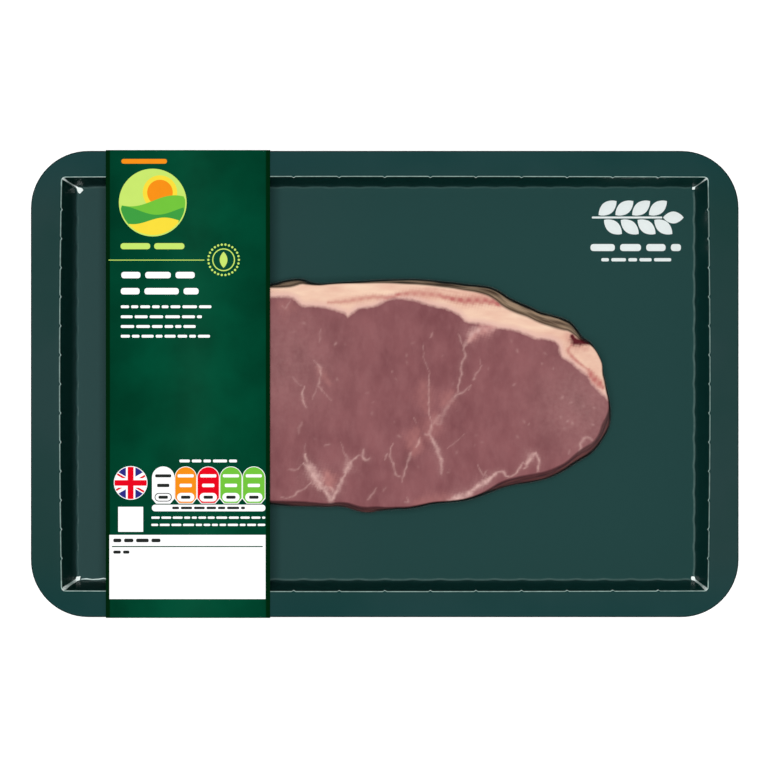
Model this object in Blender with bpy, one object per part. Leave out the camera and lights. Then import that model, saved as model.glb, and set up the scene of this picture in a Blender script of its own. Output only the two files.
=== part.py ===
"""Sirloin steak in a board tray, skin packed under clear film, with a card sleeve round one side.

Metres, +Z up. The pack lies flat with its shown side up. The origin is the middle of the tray on
the surface that the pack lies on, +X runs along the long side and +Y towards the steak's fat edge.
"""

from math import cos, pi, radians, sin

import bmesh
import bpy
from mathutils import Vector

MM = 0.001

# Board tray: one sheet of board pressed into a flat flange, four walls and a floor
TRAY_LENGTH = 255.0 * MM
TRAY_WIDTH = 168.0 * MM
FLANGE_CORNER_RADIUS = 20.6 * MM
WELL_LENGTH = 233.2 * MM
WELL_WIDTH = 149.2 * MM
WELL_DEPTH = 20.0 * MM
WELL_CORNER_RADIUS = 2.2 * MM
END_WALL_DRAFT = 2.3 * MM
SIDE_WALL_DRAFT = 1.8 * MM
END_WALL_BOW = 0.7 * MM
SIDE_WALL_BOW = 0.25 * MM
BOARD_THICKNESS = 0.6 * MM
BOARD_FOLD_RADIUS = 0.8 * MM

# Card sleeve: a band folded round the flange's edges and under the floor
SLEEVE_LENGTH = 59.4 * MM
SLEEVE_MIDDLE_X = -71.0 * MM
SLEEVE_THICKNESS = 0.3 * MM
SLEEVE_FOLD_RADIUS = 0.5 * MM

# Skin film: one clear sheet drawn down over the flange, the walls, the floor and the steak
FILM_THICKNESS = 0.2 * MM
FILM_FOOT_RADIUS = 2.2 * MM

# Air between pieces that touch
CLEARANCE = 0.25 * MM

TRAY_BASE_Z = SLEEVE_THICKNESS + CLEARANCE
FLOOR_Z = TRAY_BASE_Z + BOARD_THICKNESS
FLANGE_Z = FLOOR_Z + WELL_DEPTH
STEAK_BASE_Z = FLOOR_Z + CLEARANCE
SLEEVE_TOP_Z = FLANGE_Z + CLEARANCE + FILM_THICKNESS + CLEARANCE

# Steps along each round corner and straight side of the tray, round a fold and round the steak
CORNER_STEPS = 6
LONG_SIDE_STEPS = 8
SHORT_SIDE_STEPS = 6
FOLD_STEPS = 2
STEAK_STEPS = 64

# The steak's widest outline from above, anticlockwise from its left end, in millimetres
STEAK_OUTLINE_MM = (
    (-82.8, 2.0), (-81.0, -14.0), (-71.0, -28.5), (-54.0, -38.3), (-29.5, -43.6), (-13.0, -44.4),
    (-5.3, -46.0), (14.5, -43.4), (46.6, -37.0), (65.0, -30.9), (77.2, -22.8), (81.6, -11.5),
    (80.0, 0.5), (73.8, 15.0), (63.4, 23.9), (49.4, 28.7), (38.4, 34.7), (21.8, 36.6),
    (-3.2, 37.6), (-24.1, 36.1), (-33.8, 38.1), (-41.4, 36.0), (-57.0, 33.6), (-75.0, 22.5),
)

# Where the fat meets the lean, from the left end to the right, running out past the outline
FAT_EDGE_MM = (
    (-95.0, 2.0), (-80.0, 9.0), (-66.0, 23.0), (-41.4, 31.7), (-29.3, 28.5), (-13.1, 24.9),
    (-3.2, 28.2), (7.8, 30.5), (23.7, 26.9), (41.2, 19.8), (61.1, 15.3), (66.0, 8.2),
    (79.1, -4.3), (95.0, -22.0),
)

# Section of the steak's side, from its base up: how far inside the widest outline, how high
STEAK_FOOT_MM = ((3.2, 0.0), (0.9, 2.0))
STEAK_SIDE_MM = ((0.0, 8.0), (0.3, 13.0), (1.1, 16.3), (2.4, 18.1), (4.2, 18.7))
STEAK_THICKNESS_MM = 18.8
STEAK_TOP_SCALES = (0.84, 0.6, 0.32)
STEAK_MIDDLE = Vector((0.0, -4.0)) * MM

# Relief of the steak's top: the heights of the knife's slow swell, and its lengths along x and y
SWELL_HEIGHTS_MM = (0.25, 0.2)
SWELL_LENGTHS_MM = (130.0, 92.0)

# Section of the film from the steak's side to the floor: how far outside the outline, how high
FILM_TENT_MM = ((0.5, 5.0), (1.0, 2.6), (1.9, 0.9), (3.6, 0.0))


def clear_scene():
    for obj in list(bpy.data.objects):
        bpy.data.objects.remove(obj)


def finish(name, colour, roughness):
    material = bpy.data.materials.new(name)
    material.use_nodes = True
    shader = material.node_tree.nodes["Principled BSDF"]
    shader.inputs["Base Color"].default_value = (*colour, 1.0)
    shader.inputs["Roughness"].default_value = roughness
    shader.inputs["Metallic"].default_value = 0.0
    return material


def add_object(name, bm, material=None):
    bmesh.ops.recalc_face_normals(bm, faces=bm.faces)
    mesh = bpy.data.meshes.new(name)
    bm.to_mesh(mesh)
    bm.free()
    mesh.shade_smooth()
    mesh.set_sharp_from_angle(angle=radians(35))
    obj = bpy.data.objects.new(name, mesh)
    bpy.context.scene.collection.objects.link(obj)
    if material:
        mesh.materials.append(material)
    return obj


def thicken(obj, thickness, offset):
    """Gives a sheet its gauge, below its largest face for an offset of -1 and above it for 1."""
    if max(obj.data.polygons, key=lambda face: face.area).normal.z < 0:
        obj.data.flip_normals()
    solidify = obj.modifiers.new("thickness", "SOLIDIFY")
    solidify.thickness = thickness
    solidify.offset = offset
    solidify.use_even_offset = True


def add_ring(bm, loop, height):
    """Vertices and closed edges through a loop. height is a number or a function of the point."""
    heights = [height(point) if callable(height) else height for point in loop]
    verts = [bm.verts.new((point.x, point.y, z)) for point, z in zip(loop, heights)]
    return [bm.edges.new(pair) for pair in zip(verts, verts[1:] + verts[:1])]


def bridge_rings(bm, rings):
    for one, other in zip(rings, rings[1:]):
        bmesh.ops.bridge_loops(bm, edges=one + other)


def catmull_rom(points_mm, closed, steps):
    """A smooth line through the points, which goes on from the last to the first when closed."""
    knots = [Vector(point) * MM for point in points_mm]
    if closed:
        knots = knots[-1:] + knots + knots[:2]
    else:
        knots = knots[:1] + knots + knots[-1:]
    line = []
    for a, b, c, d in zip(knots, knots[1:], knots[2:], knots[3:]):
        for step in range(steps):
            t = step / steps
            line.append(
                0.5 * (2 * b + (c - a) * t + (2 * a - 5 * b + 4 * c - d) * t**2
                       + (3 * b - a - 3 * c + d) * t**3)
            )
    if not closed:
        line.append(knots[-1])
    return line


def evenly_spaced(line, count):
    """count points at equal steps along a closed line."""
    ends = line[1:] + line[:1]
    lengths = [(b - a).length for a, b in zip(line, ends)]
    spacing = sum(lengths) / count
    points = []
    travelled = 0.0
    for a, b, length in zip(line, ends, lengths):
        while len(points) < count and len(points) * spacing <= travelled + length:
            points.append(a.lerp(b, (len(points) * spacing - travelled) / length))
        travelled += length
    return points


def moved_out(loop, distance):
    """A closed anticlockwise loop with each point moved along its own normal, out of the loop."""
    moved = []
    for before, point, after in zip(loop[-1:] + loop[:-1], loop, loop[1:] + loop[:1]):
        along = (after - before).normalized()
        moved.append(point + Vector((along.y, -along.x)) * distance)
    return moved


def rounded_rectangle(half_x, half_y, radius, bow_x=0.0, bow_y=0.0):
    """An anticlockwise loop with round corners, whose sides bow out in the middle."""
    sides = (
        (Vector((0, -1)), Vector((1, 0)), half_y, SHORT_SIDE_STEPS, bow_x),
        (Vector((1, 0)), Vector((0, 1)), half_x, LONG_SIDE_STEPS, bow_y),
        (Vector((0, 1)), Vector((-1, 0)), half_y, SHORT_SIDE_STEPS, bow_x),
        (Vector((-1, 0)), Vector((0, -1)), half_x, LONG_SIDE_STEPS, bow_y),
    )
    loop = []
    for before, outward, half_run, steps, bow in sides:
        corner = before + outward
        centre = Vector((corner.x * (half_x - radius), corner.y * (half_y - radius)))
        for step in range(CORNER_STEPS + 1):
            loop.append(centre + before.slerp(outward, step / CORNER_STEPS) * radius)
        start = loop[-1]
        run = -before * 2 * (half_run - radius)
        for step in range(1, steps):
            share = step / steps
            loop.append(start + run * share + outward * bow * 4 * share * (1 - share))
    return loop


def flange_ring(bm, height):
    outline = rounded_rectangle(TRAY_LENGTH / 2, TRAY_WIDTH / 2, FLANGE_CORNER_RADIUS)
    return add_ring(bm, outline, height)


def well_ring(bm, out, height):
    """A ring along the well's wall at a height, moved out through the wall by a distance."""
    depth = (FLANGE_Z - height) / WELL_DEPTH
    outline = rounded_rectangle(
        WELL_LENGTH / 2 - depth * END_WALL_DRAFT + out,
        WELL_WIDTH / 2 - depth * SIDE_WALL_DRAFT + out,
        max(WELL_CORNER_RADIUS + out, BOARD_FOLD_RADIUS / 2),
        (1 - depth) * END_WALL_BOW,
        (1 - depth) * SIDE_WALL_BOW,
    )
    return add_ring(bm, outline, height)


def well_rings(bm, rim_radius, foot_inset, foot_radius):
    """Rings over the rim's fold, down the wall and round its foot on to the floor."""
    angles = [pi / 2 * step / FOLD_STEPS for step in range(FOLD_STEPS + 1)]
    rings = []
    for angle in angles:
        out = BOARD_FOLD_RADIUS - rim_radius * sin(angle)
        rings.append(well_ring(bm, out, FLANGE_Z - BOARD_FOLD_RADIUS + rim_radius * cos(angle)))
    for angle in angles:
        out = foot_radius * cos(angle) - foot_inset
        rings.append(well_ring(bm, out, FLOOR_Z + foot_inset - foot_radius * sin(angle)))
    return rings


def steak_outline():
    return evenly_spaced(catmull_rom(STEAK_OUTLINE_MM, closed=True, steps=12), STEAK_STEPS)


def swell(point):
    height_x, height_y = SWELL_HEIGHTS_MM
    length_x, length_y = SWELL_LENGTHS_MM
    wave_x = sin(2 * pi * point.x / (length_x * MM))
    wave_y = sin(2 * pi * point.y / (length_y * MM))
    return (height_x * wave_x - height_y * wave_y) * MM


def add_steak_top(bm, outline, clearance=0.0):
    """The steak's side from its widest line up, and its top, or a skin that clears them."""
    rings = []
    last_inset, last_height = STEAK_SIDE_MM[-1]
    for inset, height in STEAK_SIDE_MM:
        turned_up = inset / last_inset
        loop = moved_out(outline, clearance * (1 - turned_up) - inset * MM)
        level = STEAK_BASE_Z + height * MM + clearance * turned_up
        rise = height / last_height
        rings.append(add_ring(bm, loop, lambda p, z=level, rise=rise: z + rise * swell(p)))
    top_z = STEAK_BASE_Z + STEAK_THICKNESS_MM * MM + clearance
    for scale in STEAK_TOP_SCALES:
        inner = [STEAK_MIDDLE + (point - STEAK_MIDDLE) * scale for point in loop]
        rings.append(add_ring(bm, inner, lambda p: top_z + swell(p)))
    bridge_rings(bm, rings)
    lid = bmesh.ops.contextual_create(bm, geom=rings[-1])["faces"]
    centre = bmesh.ops.poke(bm, faces=lid)["verts"][0]
    centre.co.z = top_z + swell(centre.co)
    return rings[0]


def build_tray(board):
    bm = bmesh.new()
    radius = BOARD_FOLD_RADIUS
    rings = [flange_ring(bm, FLANGE_Z), *well_rings(bm, radius, radius, radius)]
    bridge_rings(bm, rings)
    bmesh.ops.contextual_create(bm, geom=rings[-1])
    thicken(add_object("tray", bm, board), BOARD_THICKNESS, -1)


def build_film(plastic):
    """Over the flange, down the walls, across the floor and up over the steak in one sheet."""
    bm = bmesh.new()
    rim_radius = BOARD_FOLD_RADIUS + CLEARANCE
    foot_radius = FILM_FOOT_RADIUS - CLEARANCE
    rings = [flange_ring(bm, FLANGE_Z + CLEARANCE)]
    rings += well_rings(bm, rim_radius, FILM_FOOT_RADIUS, foot_radius)
    bridge_rings(bm, rings)
    outline = steak_outline()
    tent = [add_steak_top(bm, outline, CLEARANCE)]
    for out, height in FILM_TENT_MM:
        loop = moved_out(outline, out * MM)
        tent.append(add_ring(bm, loop, FLOOR_Z + CLEARANCE + height * MM))
    bridge_rings(bm, tent)
    bmesh.ops.triangle_fill(bm, use_beauty=True, edges=rings[-1] + tent[-1])
    thicken(add_object("skin_film", bm, plastic), FILM_THICKNESS, 1)


def build_steak(name, meat):
    """The whole steak as one closed body, which is then cut down to its fat or its lean."""
    bm = bmesh.new()
    outline = steak_outline()
    foot = []
    for inset, height in STEAK_FOOT_MM:
        foot.append(add_ring(bm, moved_out(outline, -inset * MM), STEAK_BASE_Z + height * MM))
    bridge_rings(bm, [*foot, add_steak_top(bm, outline)])
    bmesh.ops.contextual_create(bm, geom=foot[0])
    return add_object(name, bm, meat)


def cut_steak(steak, operation, edge_shift):
    """Keeps what lies inside or outside an upright block that follows the fat's inner edge."""
    edge = catmull_rom(FAT_EDGE_MM, closed=False, steps=3)
    far_side = [Vector((edge[-1].x, TRAY_WIDTH / 2)), Vector((edge[0].x, TRAY_WIDTH / 2))]
    bm = bmesh.new()
    ring = add_ring(bm, moved_out(edge + far_side, edge_shift), -WELL_DEPTH)
    base = bmesh.ops.contextual_create(bm, geom=ring)["faces"]
    raised = bmesh.ops.extrude_face_region(bm, geom=base)["geom"]
    top = [item for item in raised if isinstance(item, bmesh.types.BMVert)]
    bmesh.ops.translate(bm, verts=top, vec=(0, 0, 3 * WELL_DEPTH))
    block = add_object(f"{steak.name} cutter", bm)
    block.hide_render = True
    block.display_type = "WIRE"
    cut = steak.modifiers.new("fat edge", "BOOLEAN")
    cut.object = block
    cut.operation = operation
    cut.solver = "EXACT"


def build_sleeve(card):
    """Across the flange, folded in from its edges to the floor's edges, and flat underneath."""
    flange_y = TRAY_WIDTH / 2 + CLEARANCE
    flange_underside = FLANGE_Z - BOARD_THICKNESS - CLEARANCE
    floor_y = WELL_WIDTH / 2 - SIDE_WALL_DRAFT + BOARD_THICKNESS + 2 * CLEARANCE
    section = [
        (-flange_y, SLEEVE_TOP_Z), (-flange_y, flange_underside), (-floor_y, SLEEVE_THICKNESS),
        (floor_y, SLEEVE_THICKNESS), (flange_y, flange_underside), (flange_y, SLEEVE_TOP_Z),
    ]
    bm = bmesh.new()
    verts = [bm.verts.new((SLEEVE_MIDDLE_X - SLEEVE_LENGTH / 2, y, z)) for y, z in section]
    edges = [bm.edges.new(pair) for pair in zip(verts, verts[1:] + verts[:1])]
    drawn = bmesh.ops.extrude_edge_only(bm, edges=edges)["geom"]
    far_end = [item for item in drawn if isinstance(item, bmesh.types.BMVert)]
    bmesh.ops.translate(bm, verts=far_end, vec=(SLEEVE_LENGTH, 0, 0))
    folds = [edge for edge in bm.edges if len(edge.link_faces) == 2]
    bmesh.ops.bevel(
        bm, geom=folds, offset=SLEEVE_FOLD_RADIUS, offset_type="OFFSET", segments=2,
        profile=0.5, affect="EDGES", material=-1,
    )
    thicken(add_object("sleeve", bm, card), SLEEVE_THICKNESS, 1)


def main():
    clear_scene()
    board = finish("printed board", (0.018, 0.052, 0.053), 0.45)
    card = finish("printed card", (0.001, 0.058, 0.028), 0.5)
    plastic = finish("skin film", (0.6, 0.65, 0.64), 0.15)
    lean = finish("beef lean", (0.27, 0.11, 0.115), 0.5)
    fat = finish("beef fat", (0.86, 0.62, 0.48), 0.5)
    build_tray(board)
    build_sleeve(card)
    build_film(plastic)
    cut_steak(build_steak("steak_lean", lean), "DIFFERENCE", CLEARANCE / 2)
    cut_steak(build_steak("steak_fat", fat), "INTERSECT", -CLEARANCE / 2)


main()
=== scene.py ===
import random
from math import atan2, cos, exp, hypot, pi, radians, sin, sqrt

import bmesh
import bpy
import numpy as np
from mathutils import Matrix, Vector


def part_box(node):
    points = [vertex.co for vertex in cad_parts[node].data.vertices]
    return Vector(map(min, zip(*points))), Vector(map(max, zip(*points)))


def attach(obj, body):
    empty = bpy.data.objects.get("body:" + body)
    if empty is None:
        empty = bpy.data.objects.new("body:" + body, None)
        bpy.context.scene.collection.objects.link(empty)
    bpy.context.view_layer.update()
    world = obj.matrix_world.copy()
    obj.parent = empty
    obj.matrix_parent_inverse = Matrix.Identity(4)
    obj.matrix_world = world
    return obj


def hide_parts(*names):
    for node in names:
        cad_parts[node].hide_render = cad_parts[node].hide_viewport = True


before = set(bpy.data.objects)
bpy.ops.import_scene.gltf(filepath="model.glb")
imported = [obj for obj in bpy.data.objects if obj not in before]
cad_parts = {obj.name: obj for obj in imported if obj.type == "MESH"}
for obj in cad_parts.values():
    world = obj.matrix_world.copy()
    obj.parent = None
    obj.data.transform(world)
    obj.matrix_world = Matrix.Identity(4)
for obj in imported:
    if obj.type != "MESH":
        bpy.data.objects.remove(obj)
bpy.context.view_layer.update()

MM = 0.001

# The studio: the pack lies on a softly lit white table under one soft box, and is seen from
# straight above, from 0.8 m over its flange. Light from so high leaves the walls dark and hides most
# shadows behind what casts them.
CAMERA_HEIGHT = 0.8
FRAME_WIDTH = 276.76 * MM
FRAME_OFFSET_X = -0.27 * MM
SOFT_BOX_SIDE = 0.5
SOFT_BOX_HEIGHT = 1.35
SOFT_BOX_WATTS = 17.2
ROOM_HEX = "ffffff"
ROOM_STRENGTH = 0.2
TABLE_HALF_SIDE = 3.0
TABLE_GLOW = 0.4


def linear(colour):
    """The linear red, green, blue and alpha of an sRGB hex colour."""
    parts = [int(colour[i:i + 2], 16) / 255 for i in (0, 2, 4)]
    return (*[c / 12.92 if c <= 0.04045 else ((c + 0.055) / 1.055) ** 2.4 for c in parts], 1.0)


def fill_inputs(node, inputs):
    """Gives a node's sockets, named or numbered, a value or a link."""
    for socket, value in inputs.items():
        if isinstance(value, bpy.types.NodeSocket):
            node.id_data.links.new(value, node.inputs[socket])
        else:
            node.inputs[socket].default_value = value


def add_node(tree, kind, inputs, **settings):
    """A shader node with its inputs and settings."""
    node = tree.nodes.new(kind)
    for name, value in settings.items():
        setattr(node, name, value)
    fill_inputs(node, inputs)
    return node


def new_material(name):
    """A material, its node tree, its shader, and the place on the piece that its patterns follow."""
    material = bpy.data.materials.new(name)
    material.use_nodes = True
    tree = material.node_tree
    place = add_node(tree, "ShaderNodeTexCoord", {}).outputs["Object"]
    return material, tree, tree.nodes["Principled BSDF"], place


def add_object(name, data):
    """A new object, linked to the scene."""
    thing = bpy.data.objects.new(name, data)
    bpy.context.scene.collection.objects.link(thing)
    return thing


flange_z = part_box("tray")[1].z
camera_data = bpy.data.cameras.new("camera")
camera_data.sensor_width = 36.0
camera_data.lens = camera_data.sensor_width * CAMERA_HEIGHT / FRAME_WIDTH
camera = add_object("camera", camera_data)
camera.location = (FRAME_OFFSET_X, 0.0, flange_z + CAMERA_HEIGHT)
bpy.context.scene.camera = camera
bpy.context.scene.view_settings.view_transform = "Standard"

lamp = bpy.data.lights.new("soft box", "AREA")
lamp.shape = "SQUARE"
lamp.size = SOFT_BOX_SIDE
lamp.energy = SOFT_BOX_WATTS
soft_box = add_object("soft box", lamp)
soft_box.location = (0.0, 0.0, SOFT_BOX_HEIGHT)

room = bpy.data.worlds.new("room")
room.use_nodes = True
fill_inputs(room.node_tree.nodes["Background"], {"Color": linear(ROOM_HEX), "Strength": ROOM_STRENGTH})
bpy.context.scene.world = room

table_top = bmesh.new()
bmesh.ops.create_grid(table_top, x_segments=1, y_segments=1, size=TABLE_HALF_SIDE)
table_mesh = bpy.data.meshes.new("table")
table_top.to_mesh(table_mesh)
table_top.free()
table = add_object("table", table_mesh)
opal, _, opal_shader, _ = new_material("opal acrylic lit from below")
fill_inputs(opal_shader, {
    "Base Color": linear("f6f6f6"), "Roughness": 0.9, "Specular IOR Level": 0.1,
    "Emission Color": linear("ffffff"), "Emission Strength": TABLE_GLOW,
})
table_mesh.materials.append(opal)


# The tray: one sheet of teal printed board, pressed while moist, so that its walls gather in small pleats
# that nick the fold round the well. The ink cracks along the folds and shows paler there; the pale line is
# partly painted highlight, with painted glints at the nicks.
TRAY_LENGTH = 255.0 * MM
TRAY_WIDTH = 168.0 * MM
FLANGE_CORNER_RADIUS = 20.6 * MM
WELL_LENGTH = 233.2 * MM
WELL_WIDTH = 149.2 * MM
WELL_DEPTH = 20.0 * MM
WELL_CORNER_RADIUS = 1.5 * MM
END_WALL_DRAFT = 2.3 * MM
SIDE_WALL_DRAFT = 1.8 * MM
END_WALL_BOW = 0.7 * MM
SIDE_WALL_BOW = 0.25 * MM
BOARD_THICKNESS = 0.6 * MM
CUT_EDGE_WIDTH = 0.45 * MM
CUT_EDGE = -0.6
FOLD_RADIUS = 0.8 * MM
FOLD_STEPS = 6
CORNER_STEPS = 16
FLOOR_OFFSET = Vector((0.35, 0.18)) * MM
SIDE_STEP = 1.2 * MM
LONG_SIDE_PLEAT = 16.45 * MM
SHORT_SIDE_PLEAT = 10.5 * MM
PLEAT_HALF_WIDTH = 0.75 * MM
PLEAT_DEPTH = 0.5 * MM
PLEAT_RUN = 5.0 * MM
PLEATS_EACH_WAY = 6
FOOT_WAVE = 10.07 * MM
FOOT_WAVE_DEPTH = 0.3 * MM
floor_z = flange_z - WELL_DEPTH


def side_shares(run, pleat_pitch):
    """Shares of a straight side where its points lie, with each point's place in the nearest pleat."""
    count = int(run / SIDE_STEP)
    places = {(step / count - 0.5) * run: 0.0 for step in range(1, count)}
    pleats = [n * pleat_pitch for n in range(-PLEATS_EACH_WAY, PLEATS_EACH_WAY + 1)]
    for pleat in pleats:
        places = {place: 0.0 for place in places if abs(place - pleat) > 1.3 * PLEAT_HALF_WIDTH}
    for pleat in pleats:
        for step in range(-3, 4):
            places[pleat + PLEAT_HALF_WIDTH * step / 3] = 1 - abs(step) / 3
    return [(place / run + 0.5, nick) for place, nick in sorted(places.items())]


LONG_SHARES = side_shares(WELL_LENGTH - 2 * WELL_CORNER_RADIUS, LONG_SIDE_PLEAT)
SHORT_SHARES = side_shares(WELL_WIDTH - 2 * WELL_CORNER_RADIUS, SHORT_SIDE_PLEAT)


def tray_loop(half_x, half_y, radius, bow_x=0.0, bow_y=0.0, pleat=0.0, wave=0.0):
    """An anticlockwise loop round the tray. Its sides bow out, are nicked by the pleats and wave."""
    sides = (
        (Vector((0, -1)), Vector((1, 0)), half_y, SHORT_SHARES, bow_x),
        (Vector((1, 0)), Vector((0, 1)), half_x, LONG_SHARES, bow_y),
        (Vector((0, 1)), Vector((-1, 0)), half_y, SHORT_SHARES, bow_x),
        (Vector((-1, 0)), Vector((0, -1)), half_x, LONG_SHARES, bow_y),
    )
    loop = []
    for before, outward, half_run, shares, bow in sides:
        corner = before + outward
        centre = Vector((corner.x * (half_x - radius), corner.y * (half_y - radius)))
        for step in range(CORNER_STEPS + 1):
            loop.append(centre + before.slerp(outward, step / CORNER_STEPS) * radius)
        start = loop[-1]
        run = 2 * (half_run - radius)
        for share, nick in shares:
            lift = bow * 4 * share * (1 - share) - pleat * nick
            lift -= wave * abs(cos(pi * (share - 0.5) * run / FOOT_WAVE)) ** 6
            loop.append(start - before * run * share + outward * lift)
    return loop


def add_ring(bm, loop, height):
    """Vertices along a loop. height is a number or a function of the point."""
    heights = [height(point) if callable(height) else height for point in loop]
    return [bm.verts.new((point.x, point.y, z)) for point, z in zip(loop, heights)]


def skin_rings(bm, rings):
    """Faces between neighbouring rings, whose points match one to one."""
    for one, other in zip(rings, rings[1:]):
        for n in range(len(one)):
            bm.faces.new((one[n - 1], one[n], other[n], other[n - 1]))


def ring_edges(ring):
    """The edges that close a ring."""
    return [
        next(edge for edge in vert.link_edges if before in edge.verts)
        for before, vert in zip(ring[-1:] + ring[:-1], ring)
    ]


def flange_ring(bm, out, height):
    """A ring round the flange, moved out past its edge by a distance."""
    radius = FLANGE_CORNER_RADIUS + out
    return add_ring(bm, tray_loop(TRAY_LENGTH / 2 + out, TRAY_WIDTH / 2 + out, radius), height)


def well_ring(bm, out, height, pleat=0.0, wave=0.0):
    """A ring along the well's wall at a height, moved out through the wall by a distance.

    The floor lies a little off the flange's middle, so the ring moves over with depth.
    """
    depth = (flange_z - height) / WELL_DEPTH
    loop = tray_loop(
        WELL_LENGTH / 2 - depth * END_WALL_DRAFT + out,
        WELL_WIDTH / 2 - depth * SIDE_WALL_DRAFT + out,
        max(WELL_CORNER_RADIUS + out, FOLD_RADIUS / 2),
        (1 - depth) * END_WALL_BOW,
        (1 - depth) * SIDE_WALL_BOW,
        pleat * max(0.0, 1 - depth * WELL_DEPTH / PLEAT_RUN),
        wave,
    )
    return add_ring(bm, [point + FLOOR_OFFSET * depth for point in loop], height)


def add_piece(name, bm, material, nodes=(), thickness=0.0, offset=0.0):
    """A finished piece from a bmesh, which rides on the pack and may stand for CAD nodes."""
    bmesh.ops.recalc_face_normals(bm, faces=bm.faces)
    if thickness and max(bm.faces, key=lambda face: face.calc_area()).normal.z < 0:
        bmesh.ops.reverse_faces(bm, faces=bm.faces)
    mesh = bpy.data.meshes.new(name)
    bm.to_mesh(mesh)
    bm.free()
    mesh.shade_smooth()
    mesh.set_sharp_from_angle(angle=radians(40))
    for each in material if isinstance(material, (list, tuple)) else [material]:
        mesh.materials.append(each)
    piece = add_object(name, mesh)
    if thickness:
        gauge = piece.modifiers.new("gauge", "SOLIDIFY")
        gauge.thickness = thickness
        gauge.offset = offset
    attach(piece, "root")
    if nodes:
        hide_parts(*nodes)
    return piece


# Clay-coated board, flexo printed in one teal and varnished: satin, with a faint cloudiness from the fibres
# under the clay coating. The fold attribute is 1 where a fold cracks the ink and catches the light. It is
# painted as a pale line that is partly ink cracks and partly painted highlight. Over 1, at the pleats'
# nicks, it is painted near white as a painted glint. Below 0 it darkens the board's cut edge.
def make_board():
    board, tree, shader, place = new_material("teal printed board")
    along, across, height = add_node(tree, "ShaderNodeSeparateXYZ", {0: place}).outputs
    off_middle = add_node(tree, "ShaderNodeMath", {0: across}, operation="ABSOLUTE").outputs[0]
    cloud, speck, fibre = [
        add_node(tree, "ShaderNodeTexNoise", {"Vector": place, "Scale": scale, "Detail": detail}).outputs[0]
        for scale, detail in ((22.0, 3.0), (600.0, 2.0), (1400.0, 3.0))
    ]
    fold_marks_and_glints = add_node(tree, "ShaderNodeAttribute", {}, attribute_name="fold_marks_and_glints").outputs["Fac"]
    ragged = add_node(tree, "ShaderNodeMapRange", {0: speck, 1: 0.3, 2: 0.7, 3: 0.75, 4: 1.15}).outputs[0]
    crack_and_highlight = add_node(tree, "ShaderNodeMath", {0: fold_marks_and_glints, 1: ragged}, operation="MULTIPLY").outputs[0]
    # Each share goes from 0 to 1 as its value goes from the first number to the second
    spans = {
        "cloudy": (cloud, 0.35, 0.65), "sideward": (off_middle, 62 * MM, 80 * MM),
        "rightward": (along, -110 * MM, 0.0), "end to end": (along, -116 * MM, 116 * MM),
        "raised": (height, floor_z, floor_z + 6 * MM),
        "level": (height, flange_z - 1 * MM, flange_z - 0.4 * MM),
        "cut": (fold_marks_and_glints, 0.0, CUT_EDGE), "crack_and_highlight": (crack_and_highlight, 0.0, 1.0), "nick_glint": (crack_and_highlight, 1.05, 1.7),
    }
    shares = {
        name: add_node(tree, "ShaderNodeMapRange", dict(enumerate(span))).outputs[0]
        for name, span in spans.items()
    }
    # Each colour is mixed from two others, or from hex values, by a share
    colours = {}
    for name, share, under, over in (
        ("end ink", "cloudy", "193936", "223c3b"), ("side ink", "cloudy", "103837", "1a3c3c"),
        # Painted light: the floor is lighter than the flange, more so towards the left end. Painted shade:
        # the walls are darker than both, darkest at the left end.
        ("flange", "sideward", "end ink", "side ink"), ("floor", "rightward", "2a4544", "1e403e"),
        ("shaded wall", "end to end", "062e29", "0d3c38"), ("wall", "raised", "floor", "shaded wall"),
        ("ink", "level", "wall", "flange"), ("edged", "cut", "ink", "020f0e"),
        # The pale fold line is partly ink cracks and partly painted highlight; the near white at the nicks
        # is a painted glint
        ("fold line and highlight", "crack_and_highlight", "edged", "c6e6de"), ("glinted board", "nick_glint", "fold line and highlight", "f6faf8"),
    ):
        low, high = [colours[each] if each in colours else linear(each) for each in (under, over)]
        colours[name] = add_node(tree, "ShaderNodeMix", {0: shares[share], 6: low, 7: high},
                                 data_type="RGBA").outputs[2]
    bump = add_node(tree, "ShaderNodeBump",
                    {"Height": fibre, "Distance": 0.02 * MM, "Strength": 0.4}).outputs[0]
    fill_inputs(shader, {
        "Base Color": colours["glinted board"], "Normal": bump, "Roughness": 0.5, "Specular IOR Level": 0.02,
    })
    return board


# How strong the pale line along the fold round the well is on each side, ink cracks and painted highlight
# together: the right, far, left and near one. The long sides' line is painted brighter past the sleeve.
RIM_LINE_AND_HIGHLIGHT = (0.58, 1.0, 0.72, 0.9)
RIM_END_LINE_AND_HIGHLIGHT = 1.3
SLEEVE_LEFT_X = -100.4 * MM
# The pale line is painted brighter at the corners, and the pleats' nicks get a painted glint
RIM_CORNER_LINE_AND_HIGHLIGHT = 1.15
NICK_GLINT = 0.9
# How far round the fold, in radians, its pale line of ink cracks and painted highlight starts and over how
# much it grows
RIM_LINE_START = 0.8
RIM_LINE_SPAN = 0.3
# How strong the faint pale line along each wall's foot is, on the same sides: a painted highlight
FOOT_HIGHLIGHT = (0.12, 0.05, 0.0, 0.09)
CORNER_REACH = 3.2 * MM
# The depth of each ring down the wall, and how much of the rim's pale line reaches it
WALL_RINGS_MM = ((0.95, 1.0), (1.3, 0.0), (4.0, 0.0), (7.0, 0.0), (11.0, 0.0), (15.0, 0.0))


def fold_line_at(vert, sides, corner):
    """How strong a fold's pale line of ink cracks and painted highlight is at a vertex, by the side or the
    corner that it is on.
    """
    past_x = abs(vert.co.x) - (WELL_LENGTH / 2 - CORNER_REACH)
    past_y = abs(vert.co.y) - (WELL_WIDTH / 2 - CORNER_REACH)
    if past_x > 0 and past_y > 0:
        return corner
    if past_x > 0:
        return sides[0 if vert.co.x > 0 else 2]
    return sides[1 if vert.co.y > 0 else 3] * (RIM_END_LINE_AND_HIGHLIGHT if vert.co.x < SLEEVE_LEFT_X else 1.0)


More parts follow.
